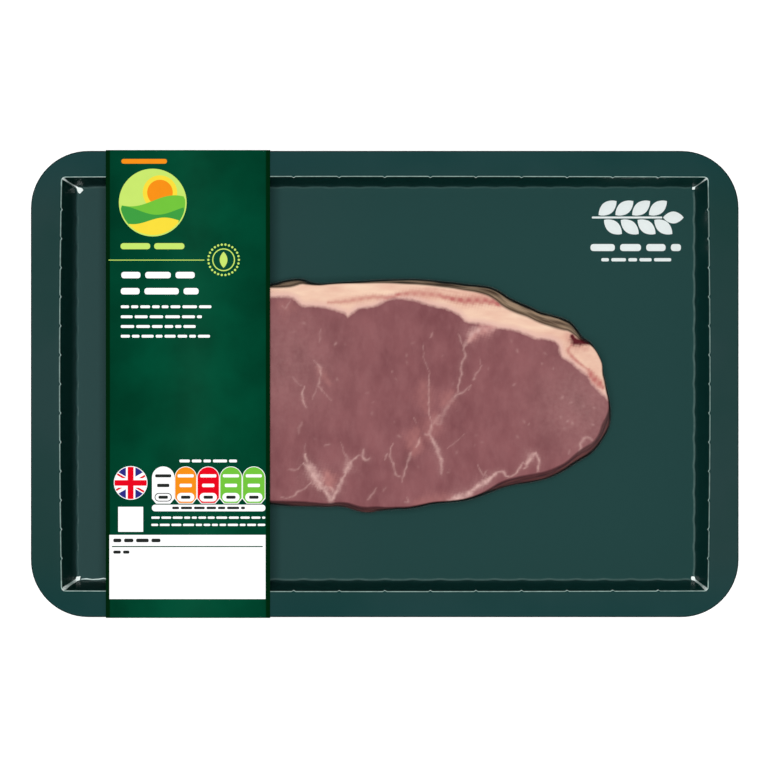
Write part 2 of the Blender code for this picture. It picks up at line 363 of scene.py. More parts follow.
def build_tray():
    bm = bmesh.new()
    fold_marks_and_glints = bm.verts.layers.float.new("fold_marks_and_glints")
    angles = [pi / 2 * step / FOLD_STEPS for step in range(FOLD_STEPS + 1)]
    rings = [flange_ring(bm, 0.0, flange_z), flange_ring(bm, -CUT_EDGE_WIDTH, flange_z)]
    for vert in rings[0]:
        vert[fold_marks_and_glints] = CUT_EDGE
    rings.append(well_ring(bm, 2 * FOLD_RADIUS, flange_z, PLEAT_DEPTH))
    rim_shares = []
    for angle in angles:
        out = FOLD_RADIUS * (1 - sin(angle))
        rings.append(well_ring(bm, out, flange_z - FOLD_RADIUS * (1 - cos(angle)), PLEAT_DEPTH))
        rim_shares.append(min(1.0, max(0.0, angle - RIM_LINE_START) / RIM_LINE_SPAN))
    for depth, share in WALL_RINGS_MM:
        rings.append(well_ring(bm, 0.0, flange_z - depth * MM, PLEAT_DEPTH))
        rim_shares.append(share)
    nicks = tray_loop(1.0, 1.0, 0.1, pleat=1.0)
    flat = tray_loop(1.0, 1.0, 0.1)
    nick_shares = [(a - b).length for a, b in zip(nicks, flat)]
    for ring, share in zip(rings[-len(rim_shares):], rim_shares):
        for vert, nick in zip(ring, nick_shares):
            vert[fold_marks_and_glints] = share * (fold_line_at(vert, RIM_LINE_AND_HIGHLIGHT, RIM_CORNER_LINE_AND_HIGHLIGHT) + NICK_GLINT * nick**2)
    for angle in angles:
        out = FOLD_RADIUS * (cos(angle) - 1)
        height = floor_z + FOLD_RADIUS * (1 - sin(angle))
        rings.append(well_ring(bm, out, height, wave=FOOT_WAVE_DEPTH))
        for vert in rings[-1]:
            vert[fold_marks_and_glints] = sin(2 * angle) * fold_line_at(vert, FOOT_HIGHLIGHT, 0.0)
    rings.append(well_ring(bm, -3 * FOLD_RADIUS, floor_z))
    skin_rings(bm, rings)
    bm.faces.new(rings[-1])
    add_piece("pressed_tray", bm, make_board(), ["tray"], BOARD_THICKNESS, -1)


build_tray()


# The steak: a sirloin slice 19 mm thick, lean with a cap of fat along its far side and round its
# right end. It is one cut of meat, made as one body and parted along the line where they meet.
STEAK_OUTLINE_MM = (
    (-82.8, 2.0), (-81.0, -14.0), (-71.0, -28.5), (-56.0, -38.6), (-44.0, -43.4), (-36.4, -44.5),
    (-30.9, -44.7), (-25.8, -44.8), (-20.5, -44.9), (-17.2, -44.7), (-14.0, -45.1), (-11.3, -46.0),
    (-8.4, -46.8), (-5.4, -47.0), (-2.1, -46.4), (3.6, -45.8), (8.3, -45.7), (13.1, -44.9),
    (17.5, -43.9), (22.6, -43.4), (27.7, -42.9), (31.7, -42.1), (35.7, -40.8), (39.7, -39.2),
    (43.4, -37.8), (48.2, -36.7), (54.1, -35.8), (60.3, -34.2), (65.7, -31.6), (70.8, -28.3),
    (74.6, -26.0), (77.2, -23.6), (79.2, -20.9), (81.0, -18.0), (82.2, -14.9), (82.6, -11.6),
    (82.5, -8.4), (82.0, -5.1), (81.2, -1.9), (80.6, 1.3), (79.8, 4.4), (79.3, 7.4), (78.1, 10.2),
    (76.8, 12.9), (75.2, 15.3), (72.3, 17.2), (70.4, 19.9), (68.1, 22.5), (65.1, 24.0), (61.4, 25.1),
    (57.0, 26.3), (53.0, 28.2), (49.3, 29.7), (45.4, 31.6), (42.7, 33.5), (40.6, 34.6), (38.2, 35.5),
    (34.1, 36.1), (29.6, 36.5), (25.3, 37.1), (20.9, 37.5), (16.5, 38.0), (11.9, 38.3), (7.3, 38.3),
    (2.1, 38.2), (-3.3, 38.0), (-9.2, 37.6), (-15.9, 37.2), (-20.0, 36.9), (-23.6, 36.7), (-27.0, 37.3),
    (-30.5, 38.4), (-35.6, 38.0), (-41.4, 36.6), (-57.0, 33.6), (-75.0, 22.5),
)
FAT_EDGE_MM = (
    (-95.0, 2.0), (-80.0, 9.0), (-66.0, 23.0), (-48.0, 31.2), (-41.4, 31.3), (-35.0, 31.3),
    (-32.4, 30.4), (-31.1, 29.1), (-29.3, 28.0), (-25.8, 28.0), (-22.3, 27.6), (-18.8, 26.9),
    (-16.2, 26.0), (-14.4, 25.4), (-13.4, 24.3), (-11.8, 25.4), (-9.2, 27.1), (-6.2, 27.5),
    (-3.5, 28.0), (-0.9, 29.3), (1.7, 30.4), (3.9, 30.8), (6.9, 30.6), (10.0, 30.2), (14.4, 28.9),
    (17.4, 28.0), (21.7, 27.1), (23.7, 26.4), (26.5, 25.0), (28.3, 23.2), (30.2, 22.1), (32.9, 21.9),
    (37.5, 21.1), (40.7, 20.2), (44.0, 19.7), (47.6, 19.0), (51.3, 17.7), (54.6, 16.3), (58.2, 16.1),
    (61.0, 15.4), (62.6, 14.0), (63.1, 11.7), (64.2, 9.4), (67.0, 8.0), (69.3, 5.7), (73.0, 2.9),
    (74.3, 0.6), (77.1, -2.6), (79.5, -4.7), (95.0, -20.0),
)
# The far corners of the region that the knife cuts out as fat, and how low and high it reaches
FAT_BEYOND_MM = ((95.0, 90.0), (-95.0, 90.0))
KNIFE_FOOT_Z = -10.0 * MM
KNIFE_HEIGHT = 60.0 * MM
STEAK_THICKNESS = 18.8 * MM
STEAK_SIDE_STEPS = 300
STEAK_GRAIN = 0.42 * MM
STEAK_REACH_X = 84.0 * MM
STEAK_REACH_Y = 48.0 * MM
SWELL_HEIGHTS_MM = (0.25, 0.2)
SWELL_LENGTHS_MM = (130.0, 92.0)
CLEARANCE = 0.25 * MM
# Section of the side, from its foot up: the inset from the widest outline, the share of the side's
# lean that is reached, and the height
STEAK_SIDE_MM = (
    (3.2, 0.0, 0.0), (1.6, 0.0, 0.6), (0.8, 0.0, 2.0), (0.2, 0.0, 5.0), (0.0, 0.0, 8.0),
    (0.0, 0.18, 10.5), (0.0, 0.42, 13.0), (0.0, 0.66, 15.3), (0.0, 0.86, 17.2), (0.05, 0.95, 18.1),
    (0.2, 1.0, 18.5), (0.45, 1.0, 18.78),
)
WIDEST_RING = 4
SIDE_TOP_MM = STEAK_SIDE_MM[-1][2]
EDGE_START_MM = 17.0
# Where the side leans in, so that it shows from above: the place, how far along, and by how much
LEANS_MM = (
    (-34.5, 37.5, 6.5, 2.2), (-4.0, 38.3, 9.0, 0.6), (8.0, 38.5, 8.0, 1.05), (18.0, 38.2, 8.0, 1.25),
    (28.0, 37.0, 7.0, 1.3), (38.0, 35.5, 7.0, 2.0), (47.0, 31.0, 8.0, 3.0), (57.0, 26.5, 8.0, 2.1),
    (66.0, 23.5, 8.0, 2.8), (81.0, -15.5, 5.0, 2.2), (74.0, -26.5, 8.0, 2.6), (62.0, -33.0, 7.0, 1.6),
    (52.0, -35.5, 7.0, 1.9), (43.0, -37.5, 6.0, 1.3), (34.0, -40.5, 7.0, 0.4), (10.0, -45.2, 13.0, 0.45),
    (-5.0, -46.5, 5.0, 1.3), (-13.0, -45.0, 6.0, 1.15), (-32.0, -44.0, 12.0, 1.25), (-70.0, 0.0, 30.0, 1.5),
)
LEAN_EVERYWHERE_MM = 0.15
LEAN_BY_REACH = 0.0135
TIP_MM = (77.0, 9.0)
TIP_REACH_MM = 6.0
steak_base_z = floor_z + CLEARANCE


def catmull_rom(points_mm, closed, steps):
    """A smooth line through the points, which goes on from the last to the first when closed."""
    knots = [Vector(point) * MM for point in points_mm]
    if closed:
        knots = knots[-1:] + knots + knots[:2]
    else:
        knots = knots[:1] + knots + knots[-1:]
    line = []
    for a, b, c, d in zip(knots, knots[1:], knots[2:], knots[3:]):
        for step in range(steps):
            t = step / steps
            square, cube = (2 * a - 5 * b + 4 * c - d) * t**2, (3 * b - a - 3 * c + d) * t**3
            line.append(0.5 * (2 * b + (c - a) * t + square + cube))
    if not closed:
        line.append(knots[-1])
    return line


def evenly_spaced(line, count):
    """count points at equal steps along a closed line."""
    ends = line[1:] + line[:1]
    lengths = [(b - a).length for a, b in zip(line, ends)]
    spacing = sum(lengths) / count
    points = []
    travelled = 0.0
    for a, b, length in zip(line, ends, lengths):
        while len(points) < count and len(points) * spacing <= travelled + length:
            points.append(a.lerp(b, (len(points) * spacing - travelled) / length))
        travelled += length
    return points


def side_lean(point):
    """How far the top's edge lies inside the widest outline here, in millimetres."""
    x, y = point.x / MM, point.y / MM
    lean = LEAN_EVERYWHERE_MM + LEAN_BY_REACH * hypot(x, y)
    for at_x, at_y, spread, most in LEANS_MM:
        lean += most * exp(-((x - at_x) ** 2 + (y - at_y) ** 2) / spread**2)
    tip_gap = hypot(x - TIP_MM[0], y - TIP_MM[1])
    return lean * min(1.0, 0.5 + 0.5 * (tip_gap / TIP_REACH_MM) ** 2)


def moved_out(loop, distance):
    """A closed anticlockwise loop, each point moved along its own normal by its distance."""
    moved = []
    for before, point, after in zip(loop[-1:] + loop[:-1], loop, loop[1:] + loop[:1]):
        along = (after - before).normalized()
        far = distance(point) if callable(distance) else distance
        moved.append(point + Vector((along.y, -along.x)) * far)
    return moved


def swell(x, y):
    """The slow rise and fall that the knife left over the steak's top."""
    along, across = SWELL_HEIGHTS_MM
    turns_x, turns_y = x / (SWELL_LENGTHS_MM[0] * MM), y / (SWELL_LENGTHS_MM[1] * MM)
    return (along * np.sin(2 * pi * turns_x) - across * np.sin(2 * pi * turns_y)) * MM


def steak_rings(bm, outline, section, clearance=0.0):
    """Rings up the steak's side, or up a skin that clears it, and the last one's loop."""
    rings = []
    for inset, lean_share, height in section:
        turned_up = max(0.0, (height - EDGE_START_MM) / (SIDE_TOP_MM - EDGE_START_MM))
        out = clearance * (1 - turned_up) - inset * MM
        loop = moved_out(outline, lambda p, out=out, share=lean_share: out - share * side_lean(p) * MM)
        level = steak_base_z + height * MM + clearance * turned_up
        share = height / SIDE_TOP_MM
        rings.append(add_ring(bm, loop, lambda p, z=level, k=share: float(z + k * swell(p.x, p.y))))
    return rings, loop


def inside(points, loop):
    """True for each of the points, an array of x and y, that lies inside a closed loop."""
    x, y = points[:, 0], points[:, 1]
    odd = np.zeros(len(points), bool)
    for a, b in zip(loop, loop[1:] + loop[:1]):
        spans = (a.y > y) != (b.y > y)
        if a.y != b.y:
            odd ^= spans & (x < a.x + (y - a.y) * (b.x - a.x) / (b.y - a.y))
    return odd


steak_outline = evenly_spaced(catmull_rom(STEAK_OUTLINE_MM, closed=True, steps=24), STEAK_SIDE_STEPS)


def build_steak_body():
    """The whole slice as one closed bmesh, whose cut top has a fine even grain for its marbling."""
    bm = bmesh.new()
    rings, edge_loop = steak_rings(bm, steak_outline, STEAK_SIDE_MM)
    skin_rings(bm, rings)
    bm.faces.new(rings[0])
    grid = bmesh.ops.create_grid(
        bm, x_segments=int(2 * STEAK_REACH_X / STEAK_GRAIN), y_segments=int(2 * STEAK_REACH_Y / STEAK_GRAIN),
        size=1.0, matrix=Matrix.Diagonal((STEAK_REACH_X, STEAK_REACH_Y, 1, 1)),
    )["verts"]
    places = np.array([vert.co.xy for vert in grid])
    keep = inside(places, moved_out(edge_loop, -0.7 * STEAK_GRAIN))
    bmesh.ops.delete(bm, geom=[vert for vert, kept in zip(grid, keep) if not kept], context="VERTS")
    kept_verts = [vert for vert, kept in zip(grid, keep) if kept]
    loose = [vert for vert in kept_verts if not vert.link_faces]
    bmesh.ops.delete(bm, geom=loose, context="VERTS")
    for vert in kept_verts:
        if vert.is_valid:
            vert.co.z = steak_base_z + STEAK_THICKNESS + float(swell(vert.co.x, vert.co.y))
    half_up = steak_base_z + STEAK_THICKNESS / 2
    rim = [edge for edge in bm.edges if edge.is_boundary and edge.verts[0].co.z > half_up]
    bmesh.ops.triangle_fill(bm, edges=rim, use_beauty=True)
    bmesh.ops.recalc_face_normals(bm, faces=bm.faces)
    return bm


# Marbling: threads of pale fat through the lean. Each has its half width in millimetres, how pale
# it is, and the points that it runs through.
VEINS_MM = (
    (1.9, 0.45, ((39.5, 20.3), (36.5, 19.8), (33.5, 19.2))),
    (1.6, 0.75, ((34.5, 19.8), (32.0, 18.6), (30.6, 15.8))),
    (0.95, 0.50, ((30.9, 16.6), (29.7, 15.2), (28.8, 13.9))),
    (0.30, 0.40, ((26.5, 18.1), (27.6, 15.4), (28.3, 13.1))),
    (0.42, 0.60, ((28.7, 14.1), (28.4, 12.6), (29.2, 10.7), (28.3, 8.4), (27.6, 7.1), (27.6, 3.4),
                  (26.7, 0.2), (26.2, -3.1))),
    (0.50, 0.50, ((29.1, 11.4), (29.0, 10.1))),
    (0.8, 0.32, ((26.4, -2.5), (25.7, -4.3), (23.1, -7.2), (21.3, -10.5), (19.9, -14.1), (18.5, -14.4))),
    (0.30, 0.30, ((25.9, -4.0), (23.5, -6.1), (22.1, -8.3))),
    (0.35, 0.50, ((30.9, -0.5), (28.8, -2.6), (26.7, -3.5), (25.1, -4.9))),
    (0.25, 0.35, ((30.9, -0.5), (30.4, -2.3))),
    (0.28, 0.40, ((35.2, 6.9), (33.4, 4.3), (32.0, 2.0))),
    (0.22, 0.22, ((34.3, 9.4), (34.5, 7.1))),
    (0.22, 0.30, ((13.9, 14.9), (14.2, 8.8), (15.3, 6.6), (16.1, 4.0))),
    (0.26, 0.50, ((16.1, 4.7), (15.9, 0.0), (15.9, -5.8), (16.0, -10.5), (16.9, -14.2))),
    (1.0, 0.34, ((19.9, -11.4), (18.5, -13.0), (17.0, -14.8))),
    (0.60, 0.50, ((16.9, -14.4), (16.5, -16.6), (16.0, -18.3), (14.4, -18.0))),
    (0.75, 0.7, ((16.0, -18.3), (18.1, -21.6), (19.7, -25.8), (20.4, -27.8), (20.4, -32.4))),
    (0.42, 0.55, ((12.7, -19.6), (11.5, -22.9))),
    (0.50, 0.50, ((9.6, -24.5), (9.1, -26.0), (8.1, -28.7))),
    (0.32, 0.50, ((8.3, -27.8), (7.1, -32.0), (6.1, -35.3))),
    (0.35, 0.50, ((2.8, -21.6), (1.9, -24.5), (2.4, -27.8), (3.2, -29.1), (4.0, -32.8), (6.1, -33.4))),
    (0.30, 0.45, ((1.1, -24.9), (-0.1, -27.2))),
    (0.28, 0.40, ((-9.3, -25.8), (-7.8, -25.7))),
    (0.50, 0.60, ((-7.6, -23.7), (-8.0, -25.8), (-6.8, -27.4), (-5.3, -26.9))),
    (0.75, 0.35, ((-14.0, -25.6), (-13.3, -28.1), (-12.5, -29.6))),
    (0.50, 0.70, ((-9.3, -25.8), (-11.7, -27.4), (-13.0, -29.1), (-13.8, -31.2), (-15.1, -34.4))),
    (0.8, 0.8, ((-14.6, -33.2), (-16.7, -37.4), (-18.3, -40.3), (-19.4, -43.0))),
    (1.15, 0.75, ((-12.2, -28.0), (-13.3, -29.9), (-14.3, -32.1))),
    (0.55, 0.85, ((-28.8, -25.4), (-28.2, -27.8), (-27.0, -30.1))),
    (2.0, 0.95, ((-27.9, -29.0), (-25.9, -32.1), (-24.3, -34.6), (-23.2, -37.2))),
    (0.40, 0.80, ((-29.5, -28.7), (-27.3, -30.3), (-26.2, -33.9), (-23.9, -38.2))),
    (1.0, 0.9, ((-23.0, -37.2), (-21.6, -37.7), (-20.7, -39.5), (-19.6, -42.6))),
    (0.45, 0.60, ((-20.8, -37.3), (-18.8, -37.9), (-19.4, -40.8))),
    (0.28, 0.42, ((-29.5, -28.7), (-31.6, -30.7), (-34.9, -31.0))),
    (0.32, 0.55, ((-26.6, -35.3), (-28.3, -37.4), (-30.0, -38.2), (-31.6, -39.0), (-33.2, -40.7),
                  (-37.4, -41.1))),
    (0.30, 0.30, ((-21.7, -22.0), (-19.6, -21.8))),
    (0.28, 0.30, ((-15.9, -21.2), (-14.6, -24.9), (-13.8, -27.4))),
    (0.30, 0.22, ((-33.2, 2.7), (-31.5, 0.5), (-29.3, -0.8))),
    (0.40, 0.62, ((-29.1, -1.0), (-29.7, -3.5), (-29.7, -4.7), (-29.1, -6.7), (-28.5, -8.3))),
    (0.55, 0.25, ((-30.0, -13.7), (-30.8, -15.8), (-31.2, -17.9))),
    (0.30, 0.22, ((-28.7, -21.3), (-28.9, -25.4))),
    (0.35, 0.20, ((-23.2, 19.7), (-23.6, 14.9))),
    (0.28, 0.40, ((-25.8, 8.5), (-24.5, 7.5))),
    (0.50, 0.55, ((-24.7, 7.6), (-23.2, 5.5), (-23.2, 3.1))),
    (0.35, 0.50, ((-23.2, 3.6), (-23.6, 0.9), (-24.1, -0.6), (-23.0, -1.5), (-21.7, -3.5))),
    (0.25, 0.28, ((-21.7, -3.5), (-19.2, -5.9))),
    (0.25, 0.30, ((-24.3, -1.1), (-25.8, -4.8), (-26.4, -5.8))),
    (0.30, 0.28, ((-37.0, 28.5), (-35.9, 27.1), (-34.1, 30.2))),
    (0.30, 0.32, ((17.4, 18.4), (16.1, 16.4))),
    (1.25, 1.0, ((23.5, -42.0), (26.4, -41.0), (29.1, -40.2), (31.5, -38.9))),
    (0.95, 1.0, ((30.8, -38.9), (32.9, -37.4), (35.1, -36.0), (37.4, -34.4), (40.2, -32.3))),
    (0.36, 0.75, ((39.8, -32.5), (42.0, -31.4), (43.2, -32.1), (43.8, -33.2), (45.7, -33.4))),
    (0.36, 0.75, ((45.2, -33.4), (47.5, -32.1), (48.9, -29.8), (49.4, -28.9))),
    (0.45, 0.60, ((49.4, -28.9), (50.2, -28.5), (51.2, -29.7), (50.1, -30.3))),
    (1.1, 0.85, ((51.3, -28.7), (52.1, -27.3), (53.0, -25.9), (54.3, -25.1))),
    (0.50, 0.70, ((54.0, -25.0), (55.4, -26.5), (55.6, -29.0), (55.1, -31.6))),
    (0.28, 0.42, ((33.7, -29.3), (34.6, -31.6), (36.3, -33.9))),
    (0.28, 0.40, ((36.9, -31.2), (36.0, -32.5), (37.1, -33.4))),
    (0.50, 0.60, ((70.5, -23.8), (70.8, -21.5), (71.9, -19.7), (73.3, -19.0))),
    (0.38, 0.50, ((73.0, -18.9), (74.7, -19.9), (74.5, -21.5))),
    (0.30, 0.22, ((66.0, -25.6), (66.9, -23.8))),
    (0.20, 0.25, ((29.3, -17.8), (25.4, -21.0), (22.7, -23.3))),
    (0.32, 0.48, ((-3.0, -37.4), (-5.1, -40.7), (-6.3, -41.9))),
    (0.30, 0.42, ((8.1, -40.7), (8.6, -42.5), (7.1, -42.5))),
    (0.30, 0.20, ((0.3, -37.2), (-0.6, -39.0))),
    (0.22, 0.30, ((10.6, -12.1), (11.3, -14.2))),
)
# Flecks of fat cut across: the place, and how pale
FLECKS_MM = (
    (-17.9, 14.7, 0.50), (-17.3, 1.8, 0.35), (2.6, 4.6, 0.35), (-29.3, 21.9, 0.25), (7.8, 10.5, 0.20),
    (47.9, 12.1, 0.35), (57.8, 11.0, 0.30), (56.6, 7.3, 0.35), (60.8, 5.7, 0.35), (46.7, -0.3, 0.40),
    (64.0, -4.9, 0.60), (67.3, -6.8, 0.40), (75.4, -8.6, 0.60), (63.4, -11.8, 0.30), (66.1, -13.5, 0.40),
    (67.9, -14.0, 0.40), (74.9, -14.6, 0.35), (50.2, -13.7, 0.35), (51.9, -14.3, 0.35), (35.1, -21.0, 0.20),
    (25.9, -24.7, 0.20), (32.1, 1.9, 0.60), (3.6, -13.7, 0.20), (5.0, -18.9, 0.30),
)
LOOSE_FLECKS = 60
HALO_WIDTH = 2.6
HALO_STRENGTH = 0.16
FLECK_RADIUS_MM = 0.33
# Pink connective tissue: through the fat, where the large threads meet it, and round their knots
BLUSHES_MM = (
    (0.95, 0.8, ((-20.5, 29.4), (-14.3, 29.8), (-8.9, 30.7), (-3.5, 31.4), (1.5, 31.2), (5.5, 32.3))),
    (1.25, 0.95, ((4.0, 32.2), (9.8, 32.8), (14.5, 32.5), (19.2, 32.1), (23.5, 31.2))),
    (1.7, 1.12, ((20.5, 31.6), (27.9, 30.2), (32.6, 30.3), (37.2, 30.1), (41.5, 28.6))),
    (0.55, 0.45, ((14.0, 34.4), (20.0, 34.0), (27.0, 32.8))),
    (0.7, 0.9, ((68.3, 17.3), (67.6, 14.4), (66.1, 12.2), (67.6, 9.9), (69.7, 8.0), (73.9, 4.8))),
    (1.4, 1.25, ((73.6, 5.0), (75.2, 2.4), (77.2, 0.4), (78.6, -1.2))),
    (2.4, 0.55, ((66.2, 17.5), (67.4, 14.8), (70.0, 13.6), (73.0, 12.8))),
    (3.6, 0.22, ((71.0, 12.5), (74.0, 8.0), (76.0, 3.0), (76.8, -0.5))),
)
LEAN_BLUSHES_MM = (
    (1.9, 1.0, ((39.6, 20.8), (36.2, 19.9), (33.4, 18.9))),
    (1.35, 0.85, ((34.2, 19.6), (32.2, 17.6), (30.4, 15.6))),
    (2.6, 0.7, ((-21.0, -32.5), (-19.6, -37.0))),
    (3.0, 0.4, ((11.5, -17.0), (9.2, -22.0))),
    (2.2, 0.45, ((12.6, -20.0), (10.5, -25.0))),
    (2.6, 0.35, ((23.8, -3.4), (21.2, -7.2))),
    (3.5, 0.3, ((18.0, -12.0), (15.5, -19.0))),
    (3.0, 0.3, ((14.0, 0.0), (15.0, -9.0))),
    (2.2, 0.35, ((11.0, -43.0), (24.0, -41.0))),
    (1.4, 0.3, ((-20.0, 0.0), (-24.0, 6.0))),
    (3.2, 0.22, ((-37.5, 28.5), (-33.0, 27.5))),
)
# The lean is paler round these places: where, how far along, and how much
PALE_PATCHES_MM = ((71.0, -8.0, 17.0, 0.15), (-36.0, 8.0, 20.0, 0.1))
# Where the side is free of the painted shadow, a black line at its foot: the place, how far along, and how
# free
FOOT_SHADOW_GAPS_MM = ((-20.0, -45.0, 26.0, 0.7), (80.0, 5.0, 9.0, 0.6), (52.0, -36.0, 13.0, 0.5),
          (82.0, -15.0, 8.0, 0.4), (8.0, 38.5, 18.0, 0.3), (27.5, -42.5, 8.0, -0.8))
CLOT_MM = ((67.6, 17.2), (68.7, 15.3), (70.7, 15.4), (73.6, 14.8))
CLOT_HALF_WIDTH_MM = 1.5
SIDE_MARBLING = 0.75
# How far the side hides behind the top's edge, for each millimetre of height and of reach from the
# middle, as seen from the camera's height
HIDDEN_BY_REACH = 0.0013


def distance_to(points_mm, x, y):
    """The distance in millimetres from each place to a line through the points, and its share along."""
    nearest = np.full(x.shape, 1e9)
    share = np.zeros(x.shape)
    spans = len(points_mm) - 1
    for n, (a, b) in enumerate(zip(points_mm, points_mm[1:])):
        along = np.array(b) - np.array(a)
        t = np.clip(((x - a[0]) * along[0] + (y - a[1]) * along[1]) / (along @ along), 0, 1)
        gap = np.hypot(x - a[0] - t * along[0], y - a[1] - t * along[1])
        share = np.where(gap < nearest, (n + t) / spans, share)
        nearest = np.minimum(nearest, gap)
    return nearest, share


def smooth_points(points_mm, steps=5):
    """The points of a smooth line through those given, in millimetres."""
    return [tuple(point / MM) for point in catmull_rom(points_mm, closed=False, steps=steps)]


def streak(points_mm, half_width, x, y):
    """1 along the middle of a line, falling softly to 0, with ends that taper and a ragged edge."""
    gap, share = distance_to(smooth_points(points_mm), x, y)
    taper = 1.15 * (0.35 + 0.65 * np.sin(pi * np.clip(share, 0.04, 0.96)) ** 0.7)
    ragged = 1 + 0.25 * np.sin(3.3 * x + 2.3 * y) * np.sin(3.9 * y - 2.1 * x)
    beaded = 0.82 + 0.18 * np.sin(2.1 * x + 0.7) * np.sin(1.7 * y)
    return beaded * np.exp(-((gap / (half_width * taper * ragged)) ** 2))


def strongest(streaks, x, y):
    """The most that any of the streaks gives at each place."""
    most = np.zeros(x.shape)
    for half_width, strength, points in streaks:
        most = np.maximum(most, strength * streak(points, half_width, x, y))
    return most


def marbling(x, y):
    """How pale the lean is at each place, from threads, flecks and broad patches."""
    x, y = x + 0.14 * np.sin(1.9 * y + 0.6 * x), y + 0.14 * np.sin(1.6 * x - 0.5 * y)
    pale = strongest(VEINS_MM, x, y)
    haloes = [(HALO_WIDTH * half, HALO_STRENGTH * strength, points) for half, strength, points in VEINS_MM]
    pale = np.maximum(pale, strongest(haloes, x, y))
    scatter = random.Random(11)
    flecks = list(FLECKS_MM)
    for _ in range(LOOSE_FLECKS):
        flecks.append((scatter.uniform(-76, 78), scatter.uniform(-38, 24), scatter.uniform(0.08, 0.2)))
    for fleck_x, fleck_y, strength in flecks:
        size = FLECK_RADIUS_MM * scatter.uniform(0.8, 1.5)
        turn = scatter.uniform(0, pi)
        u = (x - fleck_x) * cos(turn) + (y - fleck_y) * sin(turn)
        v = (y - fleck_y) * cos(turn) - (x - fleck_x) * sin(turn)
        pale = np.maximum(pale, 0.8 * strength * np.exp(-((u / (1.6 * size)) ** 2 + (v / size) ** 2)))
    for at_x, at_y, spread, strength in PALE_PATCHES_MM:
        pale = pale + (1 - pale) * strength * np.exp(-((x - at_x) ** 2 + (y - at_y) ** 2) / spread**2)
    return pale


def fat_depth(x, y):
    """How far into the fat each place lies, in millimetres, and below zero in the lean."""
    line = smooth_points(FAT_EDGE_MM, 4)
    gap, _ = distance_to(line, x, y)
    far = [Vector(point) for point in line + list(FAT_BEYOND_MM)]
    return np.where(inside(np.stack([x, y], 1), far), gap, -gap)


def overhang(x, y, z):
    """How far inside the widest outline each place shows from above, in millimetres."""
    line = [tuple(point / MM) for point in steak_outline]
    gap, _ = distance_to(line + line[:1], x, y)
    above = np.clip((z - steak_base_z) / MM - STEAK_SIDE_MM[WIDEST_RING][2], 0, 20)
    gap -= HIDDEN_BY_REACH * np.hypot(x, y) * above
    for at_x, at_y, spread, free in FOOT_SHADOW_GAPS_MM:
        gap += free * np.exp(-((x - at_x) ** 2 + (y - at_y) ** 2) / spread**2)
    return gap


def paint_steak(mesh):
    """Writes what the meat's colour follows at each vertex."""
    places = np.empty(len(mesh.vertices) * 3)
    mesh.vertices.foreach_get("co", places)
    places = places.reshape(-1, 3)
    x, y = places[:, 0] / MM, places[:, 1] / MM
    top = steak_base_z + STEAK_THICKNESS + swell(places[:, 0], places[:, 1])
    values = {
        "marbling": marbling(x, y), "fat_depth": fat_depth(x, y), "below_top": (top - places[:, 2]) / MM,
        "blush": strongest(BLUSHES_MM, x, y), "lean_blush": strongest(LEAN_BLUSHES_MM, x, y),
        "clot": streak(CLOT_MM, CLOT_HALF_WIDTH_MM, x, y), "overhang": overhang(x, y, places[:, 2]),
    }
    for name, value in values.items():
        attribute = mesh.attributes.new(name, "FLOAT", "POINT")
        attribute.data.foreach_set("value", value.astype(np.float32))
